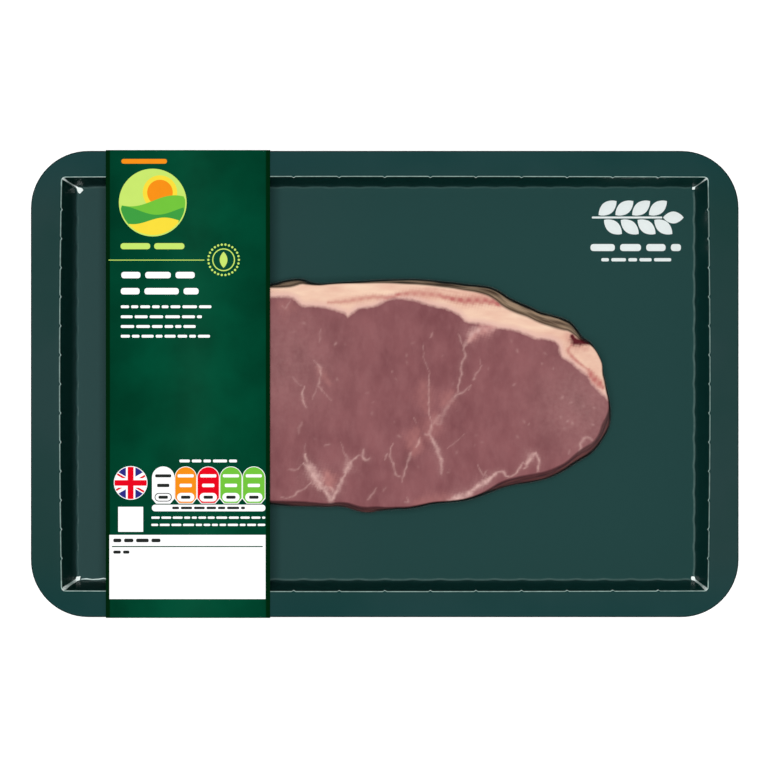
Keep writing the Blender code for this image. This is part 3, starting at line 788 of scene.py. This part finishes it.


# Raw beef under film: lean that has lost its air is mauve, not red, its cut fibres show as a faint vertical
# drag, and pale threads of fat run through it. Moist, so it has a soft sheen. Its side shows the layers that
# the knife crossed as streaks along it, and is painted black where it turns under, as painted shadow in the
# gap under the film.
def make_meat(name, side_dark, side_light):
    meat, tree, shader, place = new_material(name)
    shares = {
        each: add_node(tree, "ShaderNodeAttribute", {}, attribute_name=each).outputs["Fac"]
        for each in ("marbling", "fat_depth", "below_top", "blush", "lean_blush", "clot", "overhang")
    }
    # Patterns: how each is stretched, its scale and its detail
    for pattern, stretch, scale, detail in (
        ("broad", (1.0, 0.65, 1.0), 95.0, 5.0), ("fibre", (1.0, 0.5, 1.0), 420.0, 4.0),
        ("wobble", (1.0, 1.0, 1.0), 650.0, 3.0), ("layers", (0.3, 1.0, 1.0), 260.0, 3.0),
        ("bands", (0.3, 0.3, 1.1), 300.0, 2.0),
    ):
        drawn = add_node(tree, "ShaderNodeMapping", {"Vector": place, "Scale": stretch}).outputs[0]
        shares[pattern] = add_node(
            tree, "ShaderNodeTexNoise", {"Vector": drawn, "Scale": scale, "Detail": detail}
        ).outputs[0]
    # Ragged edges: a pattern, how much of it, and what it is added to
    for edge, pattern, amount, base in (
        ("ragged fat", "wobble", 1.1, "fat_depth"), ("ragged painted shadow", "bands", 0.9, "overhang"),
    ):
        shares[edge] = add_node(tree, "ShaderNodeMath", {0: shares[pattern], 1: amount, 2: shares[base]},
                                operation="MULTIPLY_ADD").outputs[0]
    # Each share goes between the last two numbers, or 0 and 1, as its source does between the others
    for share, source, *span in (
        ("shade", "broad", 0.33, 0.67), ("grain", "fibre", 0.4, 0.75, 0.0, 0.3),
        ("patchy", "wobble", 0.3, 0.7, 0.6, 1.15), ("layered", "layers", 0.35, 0.7),
        ("streaky", "layers", 0.35, 0.7, 1.1, 0.75), ("deep", "fat_depth", 0.6, 2.6),
        ("fat", "ragged fat", 0.0, 1.3), ("band", "bands", 0.36, 0.64),
        ("past edge", "below_top", 0.7, 2.6), ("on side", "below_top", 0.2, 0.9),
        ("clotted", "clot", 0.12, 0.7), ("turned under", "ragged painted shadow", 0.95, 1.5, 1.0, 0.0),
        ("dusk", "below_top", 10.2, 11.4, 1.0, 0.12),
    ):
        shares[share] = add_node(tree, "ShaderNodeMapRange",
                                 {0: shares[source], **dict(enumerate(span, 1))}).outputs[0]
    shares["side's part"] = SIDE_MARBLING
    for product, one, other in (
        ("pale", "marbling", "patchy"), ("pale side", "pale", "side's part"), ("lit", "band", "past edge"),
        ("blushed", "blush", "streaky"), ("dim", "turned under", "dusk"), ("painted shadow", "dim", "on side"),
    ):
        shares[product] = add_node(tree, "ShaderNodeMath", {0: shares[one], 1: shares[other]},
                                   operation="MULTIPLY").outputs[0]
    # Each colour is mixed from two others, or from hex values, by a share
    colours = {}
    for result, share, under, over in (
        ("broad lean", "shade", "764549", "885558"), ("grained lean", "grain", "broad lean", "966567"),
        ("lean", "lean_blush", "grained lean", "b87b76"), ("marbled lean", "pale", "lean", "cfa9a3"),
        ("cream", "layered", "e8c8b0", "daaf9b"), ("rimmed fat", "deep", "d7aea2", "cream"),
        ("seamed fat", "blushed", "rimmed fat", "b36a64"), ("side", "lit", side_dark, side_light),
        ("marbled side", "pale side", "side", "e6c8bf"),
        ("top", "fat", "marbled lean", "seamed fat"), ("cut", "on side", "top", "marbled side"),
        # Painted shadow: black over the side where it turns under, in the gap under the film
        ("shadowed", "painted shadow", "cut", "0a0706"), ("meat", "clotted", "shadowed", "56181f"),
    ):
        low, high = [colours[each] if each in colours else linear(each) for each in (under, over)]
        colours[result] = add_node(tree, "ShaderNodeMix", {0: shares[share], 6: low, 7: high},
                                   data_type="RGBA").outputs[2]
    bump = add_node(tree, "ShaderNodeBump",
                    {"Height": shares["fibre"], "Distance": 0.1 * MM, "Strength": 0.3}).outputs[0]
    fill_inputs(shader, {
        "Base Color": colours["meat"], "Normal": bump, "Roughness": 0.5, "Specular IOR Level": 0.03,
    })
    return meat


def build_steak():
    whole = bpy.data.meshes.new("whole steak")
    bm = build_steak_body()
    bm.to_mesh(whole)
    bm.free()
    region = [Vector(point) * MM for point in smooth_points(FAT_EDGE_MM, 4) + list(FAT_BEYOND_MM)]
    bm = bmesh.new()
    base = bm.faces.new(add_ring(bm, region, KNIFE_FOOT_Z))
    raised = bmesh.ops.extrude_face_region(bm, geom=[base])["geom"]
    top = [item for item in raised if isinstance(item, bmesh.types.BMVert)]
    bmesh.ops.translate(bm, verts=top, vec=(0, 0, KNIFE_HEIGHT))
    bmesh.ops.recalc_face_normals(bm, faces=bm.faces)
    knife_mesh = bpy.data.meshes.new("knife")
    bm.to_mesh(knife_mesh)
    bm.free()
    knife = add_object("knife", knife_mesh)
    parts = (
        ("beef_lean", "DIFFERENCE", "raw lean beef", "653940", "9d5b59", "steak_lean"),
        ("beef_fat", "INTERSECT", "raw beef fat", "6b5443", "d6b596", "steak_fat"),
    )
    for slot, operation, title, side_dark, side_light, node in parts:
        blank = add_object(slot, whole.copy())
        parting = blank.modifiers.new("parting", "BOOLEAN")
        parting.object = knife
        parting.operation = operation
        parting.solver = "MANIFOLD"
        cut = bpy.data.meshes.new_from_object(blank.evaluated_get(bpy.context.evaluated_depsgraph_get()))
        bpy.data.objects.remove(blank)
        bm = bmesh.new()
        bm.from_mesh(cut)
        piece = add_piece(f"{slot}_cut", bm, make_meat(title, side_dark, side_light), [node])
        paint_steak(piece.data)
    bpy.data.objects.remove(knife)


build_steak()


# The skin film: a clear multilayer film, heated and sucked down over tray and steak. It is stuck
# flat to the board, bridges the foot of the walls, and closes in under the steak's round side.
FILM_THICKNESS = 0.1 * MM
FILM_FOOT_RADIUS = 0.9 * MM
FILM_TENT_MM = (
    (0.2, 6.0), (0.3, 4.0), (0.45, 2.4), (0.65, 1.2), (0.9, 0.5), (1.25, 0.12), (1.6, 0.0), (2.2, 0.0),
)
FILM_TOP_SCALES = (0.97, 0.9, 0.75, 0.5, 0.25)
FILM_FLANGE_INSETS_MM = (-0.4, -0.8)
FILM_WALL_HEIGHTS_MM = (16.5, 14.0, 10.0, 6.0, 3.0)
FLAT_FACE_Z = 0.985


# Polyethylene film: nearly all light goes through it. Head on it mirrors next to nothing, and at a
# slant more and more. Round its folds it is stretched and duller, and on the meat it takes up the
# cut fibres' texture.
def make_film(name, roughness, at_slant, falloff):
    film, tree, shader, _ = new_material(name)
    tree.nodes.remove(shader)
    facing = add_node(tree, "ShaderNodeLayerWeight", {"Blend": 0.5}).outputs["Facing"]
    slant = add_node(tree, "ShaderNodeMath", {0: facing, 1: falloff}, operation="POWER").outputs[0]
    mirror = add_node(tree, "ShaderNodeMath", {0: slant, 1: at_slant}, operation="MULTIPLY").outputs[0]
    clear = add_node(tree, "ShaderNodeBsdfTransparent", {}).outputs[0]
    gloss = add_node(tree, "ShaderNodeBsdfGlossy", {"Roughness": roughness}).outputs[0]
    both = add_node(tree, "ShaderNodeMixShader", {0: mirror, 1: clear, 2: gloss}).outputs[0]
    fill_inputs(tree.nodes["Material Output"], {"Surface": both})
    return film


def build_film():
    bm = bmesh.new()
    angles = [pi / 2 * step / FOLD_STEPS for step in range(FOLD_STEPS + 1)]
    rings = [flange_ring(bm, inset * MM, flange_z + CLEARANCE) for inset in FILM_FLANGE_INSETS_MM]
    rings.append(well_ring(bm, 2 * FOLD_RADIUS, flange_z + CLEARANCE, PLEAT_DEPTH))
    rim_radius = FOLD_RADIUS + CLEARANCE
    for angle in angles:
        out = FOLD_RADIUS - rim_radius * sin(angle)
        height = flange_z - FOLD_RADIUS + rim_radius * cos(angle)
        rings.append(well_ring(bm, out, height, PLEAT_DEPTH))
    for height in FILM_WALL_HEIGHTS_MM:
        rings.append(well_ring(bm, -CLEARANCE, floor_z + height * MM, PLEAT_DEPTH))
    foot_radius = FILM_FOOT_RADIUS - CLEARANCE
    for angle in angles:
        out = foot_radius * cos(angle) - FILM_FOOT_RADIUS
        height = floor_z + FILM_FOOT_RADIUS - foot_radius * sin(angle)
        rings.append(well_ring(bm, out, height, wave=FOOT_WAVE_DEPTH * sin(angle)))
    rings.append(well_ring(bm, -2.5 * FILM_FOOT_RADIUS, floor_z + CLEARANCE))
    skin_rings(bm, rings)
    steak, top_loop = steak_rings(bm, steak_outline, STEAK_SIDE_MM[WIDEST_RING:], CLEARANCE)
    top_z = steak_base_z + STEAK_THICKNESS + CLEARANCE
    middle = Vector((0.0, -4.0)) * MM
    for scale in FILM_TOP_SCALES:
        loop = [middle + (point - middle) * scale for point in top_loop]
        steak.append(add_ring(bm, loop, lambda p: float(top_z + swell(p.x, p.y))))
    before = len(bm.faces)
    skin_rings(bm, steak)
    bm.faces.new(steak[-1])
    tent = [steak[0]]
    for out, height in FILM_TENT_MM:
        loop = moved_out(steak_outline, out * MM)
        tent.append(add_ring(bm, loop, floor_z + CLEARANCE + height * MM))
    skin_rings(bm, tent)
    bm.faces.ensure_lookup_table()
    # Round the steak the third and fourth materials stand in for the first and second
    for face in bm.faces[before:]:
        face.material_index = 2
    bmesh.ops.triangle_fill(bm, use_beauty=True, edges=ring_edges(rings[-1]) + ring_edges(tent[-1]))
    bm.normal_update()
    for face in bm.faces:
        if abs(face.normal.z) > FLAT_FACE_Z:
            face.material_index += 1
    films = [
        make_film("folded skin film", 0.1, 0.1, 6.0), make_film("flat skin film", 0.1, 0.8, 3.0),
        make_film("folded film on meat", 0.45, 0.1, 6.0), make_film("flat film on meat", 0.3, 0.6, 3.0),
    ]
    add_piece("skin_film_sheet", bm, films, ["skin_film"], FILM_THICKNESS, 1)


build_film()


# Gussets: in each corner of the well the film has more cloth than it needs. It gathers in a thin fold down
# the corner, painted milky as a painted reflection, which opens at the foot into a small web across it,
# painted bright as a painted glint. In one corner the slack runs on along the foot as a crease, painted pale
# as a painted glint.
GUSSET_STEPS = 12
GUSSET_THICKNESS = 0.08 * MM
GUSSET_BELLY = 0.45 * MM
# The gathered film glows faintly, as painted light that brightens its painted glints
GATHERED_GLOW = 0.18
# Each corner: to the right or left, far or near, the fold's half width at the rim, halfway and at
# the foot, and the web's length and its half widths from the foot inwards, all in millimetres
GUSSETS_MM = (
    (1, 1, (0.4, 0.1, 0.12), 1.3, (0.3, 0.65, 0.35, 0.1)),
    (-1, 1, (0.45, 0.15, 0.25), 2.5, (0.4, 0.85, 1.1, 0.9)),
    (-1, -1, (0.75, 0.38, 0.4), 1.9, (0.65, 0.85, 0.35, 0.08)),
    (1, -1, (0.6, 0.3, 0.3), 1.7, (0.5, 0.8, 0.65, 0.15)),
)
# The crease along the foot: x, how far it strays and its half width
CREASE_MM = (
    (-112.0, 0.0, 0.1), (-110.0, 0.15, 0.24), (-108.0, -0.1, 0.14), (-105.6, 0.0, 0.2),
    (-103.8, 0.3, 0.22), (-102.4, 0.1, 0.12), (-98.0, 0.2, 0.16),
)


# Film painted pale, brighter near the foot and the rim, and faintly glowing: painted glints and reflection
# on gathered film
def make_gathered_film_glint(name, dull_hex, bright_hex):
    gathered, tree, shader, place = new_material(name)
    cloud = add_node(tree, "ShaderNodeTexNoise", {"Vector": place, "Scale": 700.0, "Detail": 2.0}).outputs[0]
    height = add_node(tree, "ShaderNodeSeparateXYZ", {0: place}).outputs[2]
    low, high, cloudy = [
        add_node(tree, "ShaderNodeMapRange", dict(enumerate(span))).outputs[0]
        for span in (
            (height, floor_z + 5 * MM, floor_z + 2.4 * MM), (height, flange_z - 7 * MM, flange_z - 1 * MM),
            (cloud, 0.35, 0.65, -0.2, 0.35),
        )
    ]
    ends = add_node(tree, "ShaderNodeMath", {0: low, 1: high}, operation="MAXIMUM").outputs[0]
    bright = add_node(tree, "ShaderNodeMath", {0: ends, 1: cloudy},
                      operation="ADD", use_clamp=True).outputs[0]
    colour = add_node(tree, "ShaderNodeMix", {0: bright, 6: linear(dull_hex), 7: linear(bright_hex)},
                      data_type="RGBA").outputs[2]
    fill_inputs(shader, {
        "Base Color": colour, "Emission Color": colour, "Emission Strength": GATHERED_GLOW, "Roughness": 0.3,
    })
    return gathered


def skin_strip(bm, sides):
    """Faces between the two sides of an open strip."""
    one, other = sides
    for n in range(len(one) - 1):
        bm.faces.new((one[n], one[n + 1], other[n + 1], other[n]))


def build_gussets():
    bm = bmesh.new()
    across = Vector((1, -1, 0)).normalized()
    inward = Vector((-1, -1, 0)).normalized()
    for right, far, fold, web_length, web in GUSSETS_MM:
        well_corner = Vector((WELL_LENGTH / 2, WELL_WIDTH / 2, 0))
        rim = well_corner + Vector((-0.45 * MM, -0.45 * MM, flange_z - 0.3 * MM))
        foot = well_corner + Vector((-END_WALL_DRAFT, -SIDE_WALL_DRAFT, floor_z + 2.4 * MM))
        foot += inward * 0.5 * MM + Vector((FLOOR_OFFSET.x * right, FLOOR_OFFSET.y * far, 0))
        middle = []
        for step in range(GUSSET_STEPS + 1):
            t = step / GUSSET_STEPS
            half = fold[0] * (1 - t) ** 4 + fold[1] * (1 - (2 * t - 1) ** 4) + fold[2] * t**4
            middle.append((rim.lerp(foot, t) + inward * GUSSET_BELLY * sin(pi * t), half * MM))
        for step, half in enumerate(web, 1):
            out = web_length * step / len(web)
            middle.append((foot + (inward * out + Vector((0, 0, -0.65 * min(out, 2.4)))) * MM, half * MM))
        strips = [[point + across * half * side for point, half in middle] for side in (-1, 1)]
        verts = [[bm.verts.new((p.x * right, p.y * far, p.z)) for p in strip] for strip in strips]
        skin_strip(bm, verts)
    before = len(bm.faces)
    crease_y = WELL_WIDTH / 2 - SIDE_WALL_DRAFT - 0.6 * MM
    creases = [
        [bm.verts.new((x * MM, FLOOR_OFFSET.y - crease_y + (stray + side * half) * MM, floor_z + 0.9 * MM))
         for x, stray, half in CREASE_MM]
        for side in (-1, 1)
    ]
    skin_strip(bm, creases)
    bm.faces.ensure_lookup_table()
    for face in bm.faces[before:]:
        face.material_index = 1
    bmesh.ops.recalc_face_normals(bm, faces=bm.faces)
    downward = [face for face in bm.faces if face.normal.z < 0]
    bmesh.ops.reverse_faces(bm, faces=downward)
    bmesh.ops.solidify(bm, geom=bm.faces, thickness=GUSSET_THICKNESS)
    films = [
        make_gathered_film_glint("gathered film glint", "8fa39e", "e9f3f0"),
        make_gathered_film_glint("creased film glint", "6f8683", "9bb0ac"),
    ]
    add_piece("film_gussets", bm, films)


build_gussets()


# The sleeve: a band of folding boxboard, die cut and creased, glued into a loop that grips the flange's
# edges. It is litho printed in a deep green, and is darker along each side edge.
SLEEVE_LENGTH = 59.1 * MM
SLEEVE_MIDDLE_X = -70.85 * MM
SLEEVE_THICKNESS = 0.26 * MM
SLEEVE_FOLD_RADIUS = 0.5 * MM
SLEEVE_EDGE_BAND = 1.5 * MM
BAND_SOFTNESS = 0.15 * MM
SLEEVE_SLACK = 0.03 * MM
sleeve_top_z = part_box("sleeve")[1].z


def make_card():
    card, tree, shader, place = new_material("green printed card")
    across = add_node(tree, "ShaderNodeSeparateXYZ", {0: place}).outputs[0]
    middle = add_node(tree, "ShaderNodeMath", {0: across, 1: -SLEEVE_MIDDLE_X}, operation="ADD").outputs[0]
    off_middle = add_node(tree, "ShaderNodeMath", {0: middle}, operation="ABSOLUTE").outputs[0]
    cloud, tooth = [
        add_node(tree, "ShaderNodeTexNoise", {"Vector": place, "Scale": scale, "Detail": detail}).outputs[0]
        for scale, detail in ((45.0, 4.0), (1600.0, 2.0))
    ]
    band = SLEEVE_LENGTH / 2 - SLEEVE_EDGE_BAND
    shade, banded = [
        add_node(tree, "ShaderNodeMapRange", dict(enumerate(span))).outputs[0]
        for span in ((cloud, 0.35, 0.65), (off_middle, band - BAND_SOFTNESS, band + BAND_SOFTNESS))
    ]
    colour = linear("003d28")
    for share, over in ((shade, "004a32"), (banded, "01280f")):
        colour = add_node(tree, "ShaderNodeMix", {0: share, 6: colour, 7: linear(over)},
                          data_type="RGBA").outputs[2]
    bump = add_node(tree, "ShaderNodeBump",
                    {"Height": tooth, "Distance": 0.015 * MM, "Strength": 0.4}).outputs[0]
    fill_inputs(shader, {"Base Color": colour, "Normal": bump, "Roughness": 0.6, "Specular IOR Level": 0.02})
    return card


def build_sleeve():
    top_z = sleeve_top_z - SLEEVE_THICKNESS
    flange_y = TRAY_WIDTH / 2 + SLEEVE_SLACK
    flange_underside = flange_z - BOARD_THICKNESS - CLEARANCE
    floor_y = WELL_WIDTH / 2 - SIDE_WALL_DRAFT + BOARD_THICKNESS + 2 * CLEARANCE
    section = [
        (-flange_y, top_z), (-flange_y, flange_underside), (-floor_y, SLEEVE_THICKNESS),
        (floor_y, SLEEVE_THICKNESS), (flange_y, flange_underside), (flange_y, top_z),
    ]
    bm = bmesh.new()
    verts = [bm.verts.new((SLEEVE_MIDDLE_X - SLEEVE_LENGTH / 2, y, z)) for y, z in section]
    edges = [bm.edges.new(pair) for pair in zip(verts, verts[1:] + verts[:1])]
    drawn = bmesh.ops.extrude_edge_only(bm, edges=edges)["geom"]
    far_end = [item for item in drawn if isinstance(item, bmesh.types.BMVert)]
    bmesh.ops.translate(bm, verts=far_end, vec=(SLEEVE_LENGTH, 0, 0))
    folds = [edge for edge in bm.edges if len(edge.link_faces) == 2]
    bmesh.ops.bevel(
        bm, geom=folds, offset=SLEEVE_FOLD_RADIUS, offset_type="OFFSET", segments=5,
        profile=0.5, affect="EDGES", material=-1,
    )
    add_piece("card_sleeve", bm, make_card(), ["sleeve"], SLEEVE_THICKNESS, 1)


build_sleeve()


# The print: flat fields of ink on the sleeve, each a plate as thin as a coat of varnish. Bars stand
# where lines of small type would be, and a sun over fields stands for a picture.
INK_STEP = 0.03 * MM
THIN_INK = 0.93


def make_ink(name, hex_colour):
    ink, tree, shader, place = new_material(name)
    cloud = add_node(tree, "ShaderNodeTexNoise", {"Vector": place, "Scale": 300.0, "Detail": 2.0}).outputs[0]
    full = linear(hex_colour)
    thin = (*[part * THIN_INK for part in full[:3]], 1.0)
    colour = add_node(tree, "ShaderNodeMix", {0: cloud, 6: thin, 7: full}, data_type="RGBA").outputs[2]
    fill_inputs(shader, {"Base Color": colour, "Roughness": 0.6, "Specular IOR Level": 0.02})
    return ink


def bar(x0, y0, x1, y1, radius=0.3):
    """A rectangle with round corners, in millimetres."""
    radius = min(radius, (x1 - x0) / 2 - 0.01, (y1 - y0) / 2 - 0.01)
    outline = []
    for cx, cy, start in ((x1, y0, -90), (x1, y1, 0), (x0, y1, 90), (x0, y0, 180)):
        for step in range(5):
            angle = radians(start + 90 * step / 4)
            inner_x = cx - radius if cx == x1 else cx + radius
            inner_y = cy - radius if cy == y1 else cy + radius
            outline.append((inner_x + radius * cos(angle), inner_y + radius * sin(angle)))
    return outline


def disc(x, y, radius, steps=56):
    """The points round a circle, in millimetres."""
    angles = [2 * pi * n / steps for n in range(steps)]
    return [(x + radius * cos(angle), y + radius * sin(angle)) for angle in angles]


def words(x0, x1, y, height, seed):
    """A row of bars like the words of a line of type."""
    lengths = random.Random(seed)
    row = []
    x = x0
    while x < x1 - height:
        end = min(x1, x + height * lengths.uniform(2.2, 5.5))
        if x1 - end < 1.6 * height:
            end = x1
        row.append(bar(x, y - height / 2, end, y + height / 2, height / 2.5))
        x = end + 0.75 * height
    return row


def print_plates(name, inks, layers, base_z=sleeve_top_z):
    """Plates of ink. layers is a list of (ink number, level, outlines) with higher levels on top."""
    bm = bmesh.new()
    for ink, level, outlines in layers:
        for outline in outlines:
            verts = [bm.verts.new((x * MM, y * MM, base_z + INK_STEP * (level + 1))) for x, y in outline]
            face = bm.faces.new(verts)
            face.material_index = ink
            drawn = bmesh.ops.extrude_face_region(bm, geom=[face])["geom"]
            lower = [item for item in drawn if isinstance(item, bmesh.types.BMVert)]
            bmesh.ops.translate(bm, verts=lower, vec=(0, 0, -0.6 * INK_STEP))
    return add_piece(name, bm, inks)


white = make_ink("white ink", "ffffff")
lime = make_ink("lime ink", "c3e26a")
leaf_green = make_ink("leaf green ink", "6fbf3a")
field_green = make_ink("field green ink", "3c9a3f")
yellow = make_ink("yellow ink", "f2d83a")
orange = make_ink("orange ink", "f08c14")
red = make_ink("red ink", "e2001a")
blue = make_ink("blue ink", "2b2a80")
black = make_ink("black ink", "222624")
card_green = make_ink("card green ink", "00452f")

EMBLEM_X, EMBLEM_Y, EMBLEM_RADIUS = -83.5, 65.3, 12.2


def field(crest, reach=EMBLEM_RADIUS - 0.5):
    """The part of the emblem's disc below a crest line, given as height over the middle by x."""
    xs = [reach * (n / 20 - 1) for n in range(41)]
    line = [(x, min(crest(x), sqrt(max(0.0, reach**2 - x**2)))) for x in xs]
    line = [(x, y) for x, y in line if y >= -sqrt(max(0.0, reach**2 - x**2)) + 0.05]
    start = atan2(line[-1][1], line[-1][0])
    end = atan2(line[0][1], line[0][0]) % (-2 * pi)
    angles = [start + (end - start) * n / 30 for n in range(1, 30)]
    arc = [(reach * cos(angle), reach * sin(angle)) for angle in angles]
    return [(EMBLEM_X + x, EMBLEM_Y + y) for x, y in line + arc]


print_plates("print_emblem", [lime, yellow, orange, leaf_green, field_green], [
    (0, 0, [disc(EMBLEM_X, EMBLEM_Y, EMBLEM_RADIUS)]),
    (1, 1, [disc(EMBLEM_X + 2.6, EMBLEM_Y + 3.6, 6.2)]),
    (2, 2, [disc(EMBLEM_X + 2.6, EMBLEM_Y + 3.6, 4.6)]),
    (3, 3, [field(lambda x: 0.6 + 2.0 * sin(x / 5.0))]),
    (4, 4, [field(lambda x: -2.8 - 1.6 * sin(x / 4.2 + 1.2))]),
    (1, 5, [field(lambda x: -6.6 + 1.2 * sin(x / 3.6 + 0.4))]),
])


def leaf(x, y, length, half_width, angle):
    """A pointed leaf from its stalk at x, y."""
    turn_x, turn_y = cos(radians(angle)), sin(radians(angle))
    steps = 12
    upper = [(length * n / steps, half_width * sin(pi * n / steps) ** 0.8) for n in range(steps + 1)]
    lower = [(u, -v) for u, v in reversed(upper[1:-1])]
    return [(x + u * turn_x - v * turn_y, y + u * turn_y + v * turn_x) for u, v in upper + lower]


SEAL_X, SEAL_Y = -58.0, 44.7
seal_beads = [disc(x, y, 0.42, 10) for x, y in disc(SEAL_X, SEAL_Y, 5.5, 26)]
print_plates("print_lines", [lime, orange, card_green], [
    (1, 0, [bar(-94.8, 79.3, -78.4, 81.0, 0.8)]),
    (0, 0, [bar(-95.1, 48.5, -84.4, 50.7, 1.0), bar(-83.0, 48.5, -72.1, 50.7, 1.0)]),
    (0, 0, [bar(-99.4, 44.45, -64.9, 44.75, 0.1)]),
    (0, 0, seal_beads + [disc(SEAL_X, SEAL_Y, 4.1)]),
    (2, 1, [disc(SEAL_X, SEAL_Y, 3.7)]),
    (0, 2, [leaf(SEAL_X, SEAL_Y - 2.9, 5.8, 1.4, 90)]),
])

text_rows = words(-94.8, -68.4, 39.2, 2.3, 3) + words(-95.0, -67.0, 33.4, 2.3, 8)
for row_y, row_end, seed in ((27.8, -62.4, 4), (24.2, -65.8, 5), (20.7, -66.4, 6), (17.2, -62.9, 7)):
    text_rows += words(-95.0, row_end, row_y, 1.0, seed)
text_rows += words(-73.9, -53.2, -27.7, 1.0, 9)
text_rows += words(-84.0, -43.0, -48.1, 0.8, 12) + words(-84.0, -43.0, -50.7, 0.8, 13)
print_plates("print_words", [white], [(0, 0, text_rows)])

# Five tabs in a row, as on food packs everywhere: one white, one amber, one red and two green
TAB_EDGES_MM = (-83.8, -75.66, -67.6, -59.42, -51.28, -42.95)
TAB_TOP, TAB_FOOT = -29.65, -43.07


def tab(x0, x1, inset):
    """A tab with a round head and clipped feet."""
    half = (x1 - x0) / 2 - inset
    middle = (x0 + x1) / 2
    head = disc(middle, TAB_TOP - (x1 - x0) / 2, half, 36)[:19]
    foot = TAB_FOOT + inset
    return head + [
        (middle - half, foot + 1.8), (middle - half + 1.5, foot),
        (middle + half - 1.5, foot), (middle + half, foot + 1.8),
    ]


tab_layers = [
    (0, 0, [bar(TAB_EDGES_MM[0], -45.81, TAB_EDGES_MM[-1], -43.43, 1.1)]),
    (5, 1, words(-76.5, -50.3, -44.6, 0.9, 21)),
]
for ink, x0, x1 in zip((0, 1, 2, 3, 3), TAB_EDGES_MM, TAB_EDGES_MM[1:]):
    middle = (x0 + x1) / 2
    tab_layers.append((0, 0, [tab(x0, x1, 0.02)]))
    if ink:
        tab_layers.append((ink, 1, [tab(x0, x1, 0.24)]))
    type_ink = 0 if ink else 5
    # A pill, its middle, the figure in it, and two rows over it
    for layer_ink, level, half, low, high, radius in (
        (type_ink, 2, 3.1, -42.3, -39.2, 1.5), (0, 3, 2.8, -42.0, -39.5, 1.35),
        (5, 4, 1.7, -41.3, -40.2, 0.4), (type_ink, 2, 2.9, -33.6, -32.5, 0.4),
        (type_ink, 2, 2.2, -37.1, -35.9, 0.4),
    ):
        tab_layers.append((layer_ink, level, [bar(middle - half, low, middle + half, high, radius)]))
print_plates("print_tabs", [white, orange, red, leaf_green, lime, black], tab_layers)

# The national flag in a roundel: red and white crosses over diagonals on blue
FLAG_X, FLAG_Y, FLAG_RADIUS = -91.45, -35.6, 5.8
DIAGONAL = 30


def arm(angle, low, high, reach=FLAG_RADIUS):
    """One arm of a cross from the middle to the disc's edge, from low to high beside its axis."""
    outline = [(0.0, high), (0.0, low)]
    for step in range(7):
        aside = low + (high - low) * step / 6
        outline.append((sqrt(reach**2 - aside**2), aside))
    turn_x, turn_y = cos(radians(angle)), sin(radians(angle))
    return [(FLAG_X + u * turn_x - v * turn_y, FLAG_Y + u * turn_y + v * turn_x) for u, v in outline]


diagonals = (DIAGONAL, 180 - DIAGONAL, 180 + DIAGONAL, 360 - DIAGONAL)
print_plates("print_flag", [white, blue, red], [
    (0, 0, [disc(FLAG_X, FLAG_Y, FLAG_RADIUS + 0.26)]),
    (1, 1, [disc(FLAG_X, FLAG_Y, FLAG_RADIUS)]),
    (0, 2, [arm(a, -1.1, 1.1) for a in diagonals]),
    (2, 3, [arm(a, -0.7, 0.0) for a in diagonals]),
    (0, 4, [arm(a, -1.7, 1.7) for a in (0, 180)]),
    (0, 5, [arm(a, -1.7, 1.7) for a in (90, 270)]),
    (2, 6, [arm(a, -1.0, 1.0) for a in (0, 180)]),
    (2, 7, [arm(a, -1.05, 1.05) for a in (90, 270)]),
])

print_plates("print_panels", [white, card_green, black], [
    (0, 0, [bar(-95.95, -53.2, -86.95, -44.2, 0.05), bar(-99.1, -77.4, -42.9, -54.3, 0.05)]),
    (1, 1, [bar(-98.2, -58.7, -43.9, -58.3, 0.05)]),
    (2, 1, words(-97.7, -80.7, -56.3, 1.3, 31) + words(-97.7, -91.9, -60.5, 1.1, 32)),
])

# White print on the well's floor, under the film: a sprig of leaves over two rows of bars
CLAIM_X, CLAIM_Y = 76.5, 61.5
sprig = [bar(CLAIM_X, CLAIM_Y - 0.35, CLAIM_X + 26, CLAIM_Y + 0.35, 0.3)]
for n in range(4):
    sprig.append(leaf(CLAIM_X + 2.5 + 6.2 * n, CLAIM_Y + 0.9, 8.4, 2.3, 38))
    sprig.append(leaf(CLAIM_X + 4.5 + 6.2 * n, CLAIM_Y - 0.9, 8.4, 2.3, -38))
sprig.append(leaf(CLAIM_X + 26.3, CLAIM_Y, 7.6, 2.2, 0))
claim_rows = words(76.0, 109.4, 50.4, 2.6, 41) + words(80.0, 105.8, 45.9, 1.2, 43)
under_film = make_ink("white ink under film", "dfe6e5")
print_plates("floor_print", [under_film], [(0, 0, sprig + claim_rows)], floor_z)
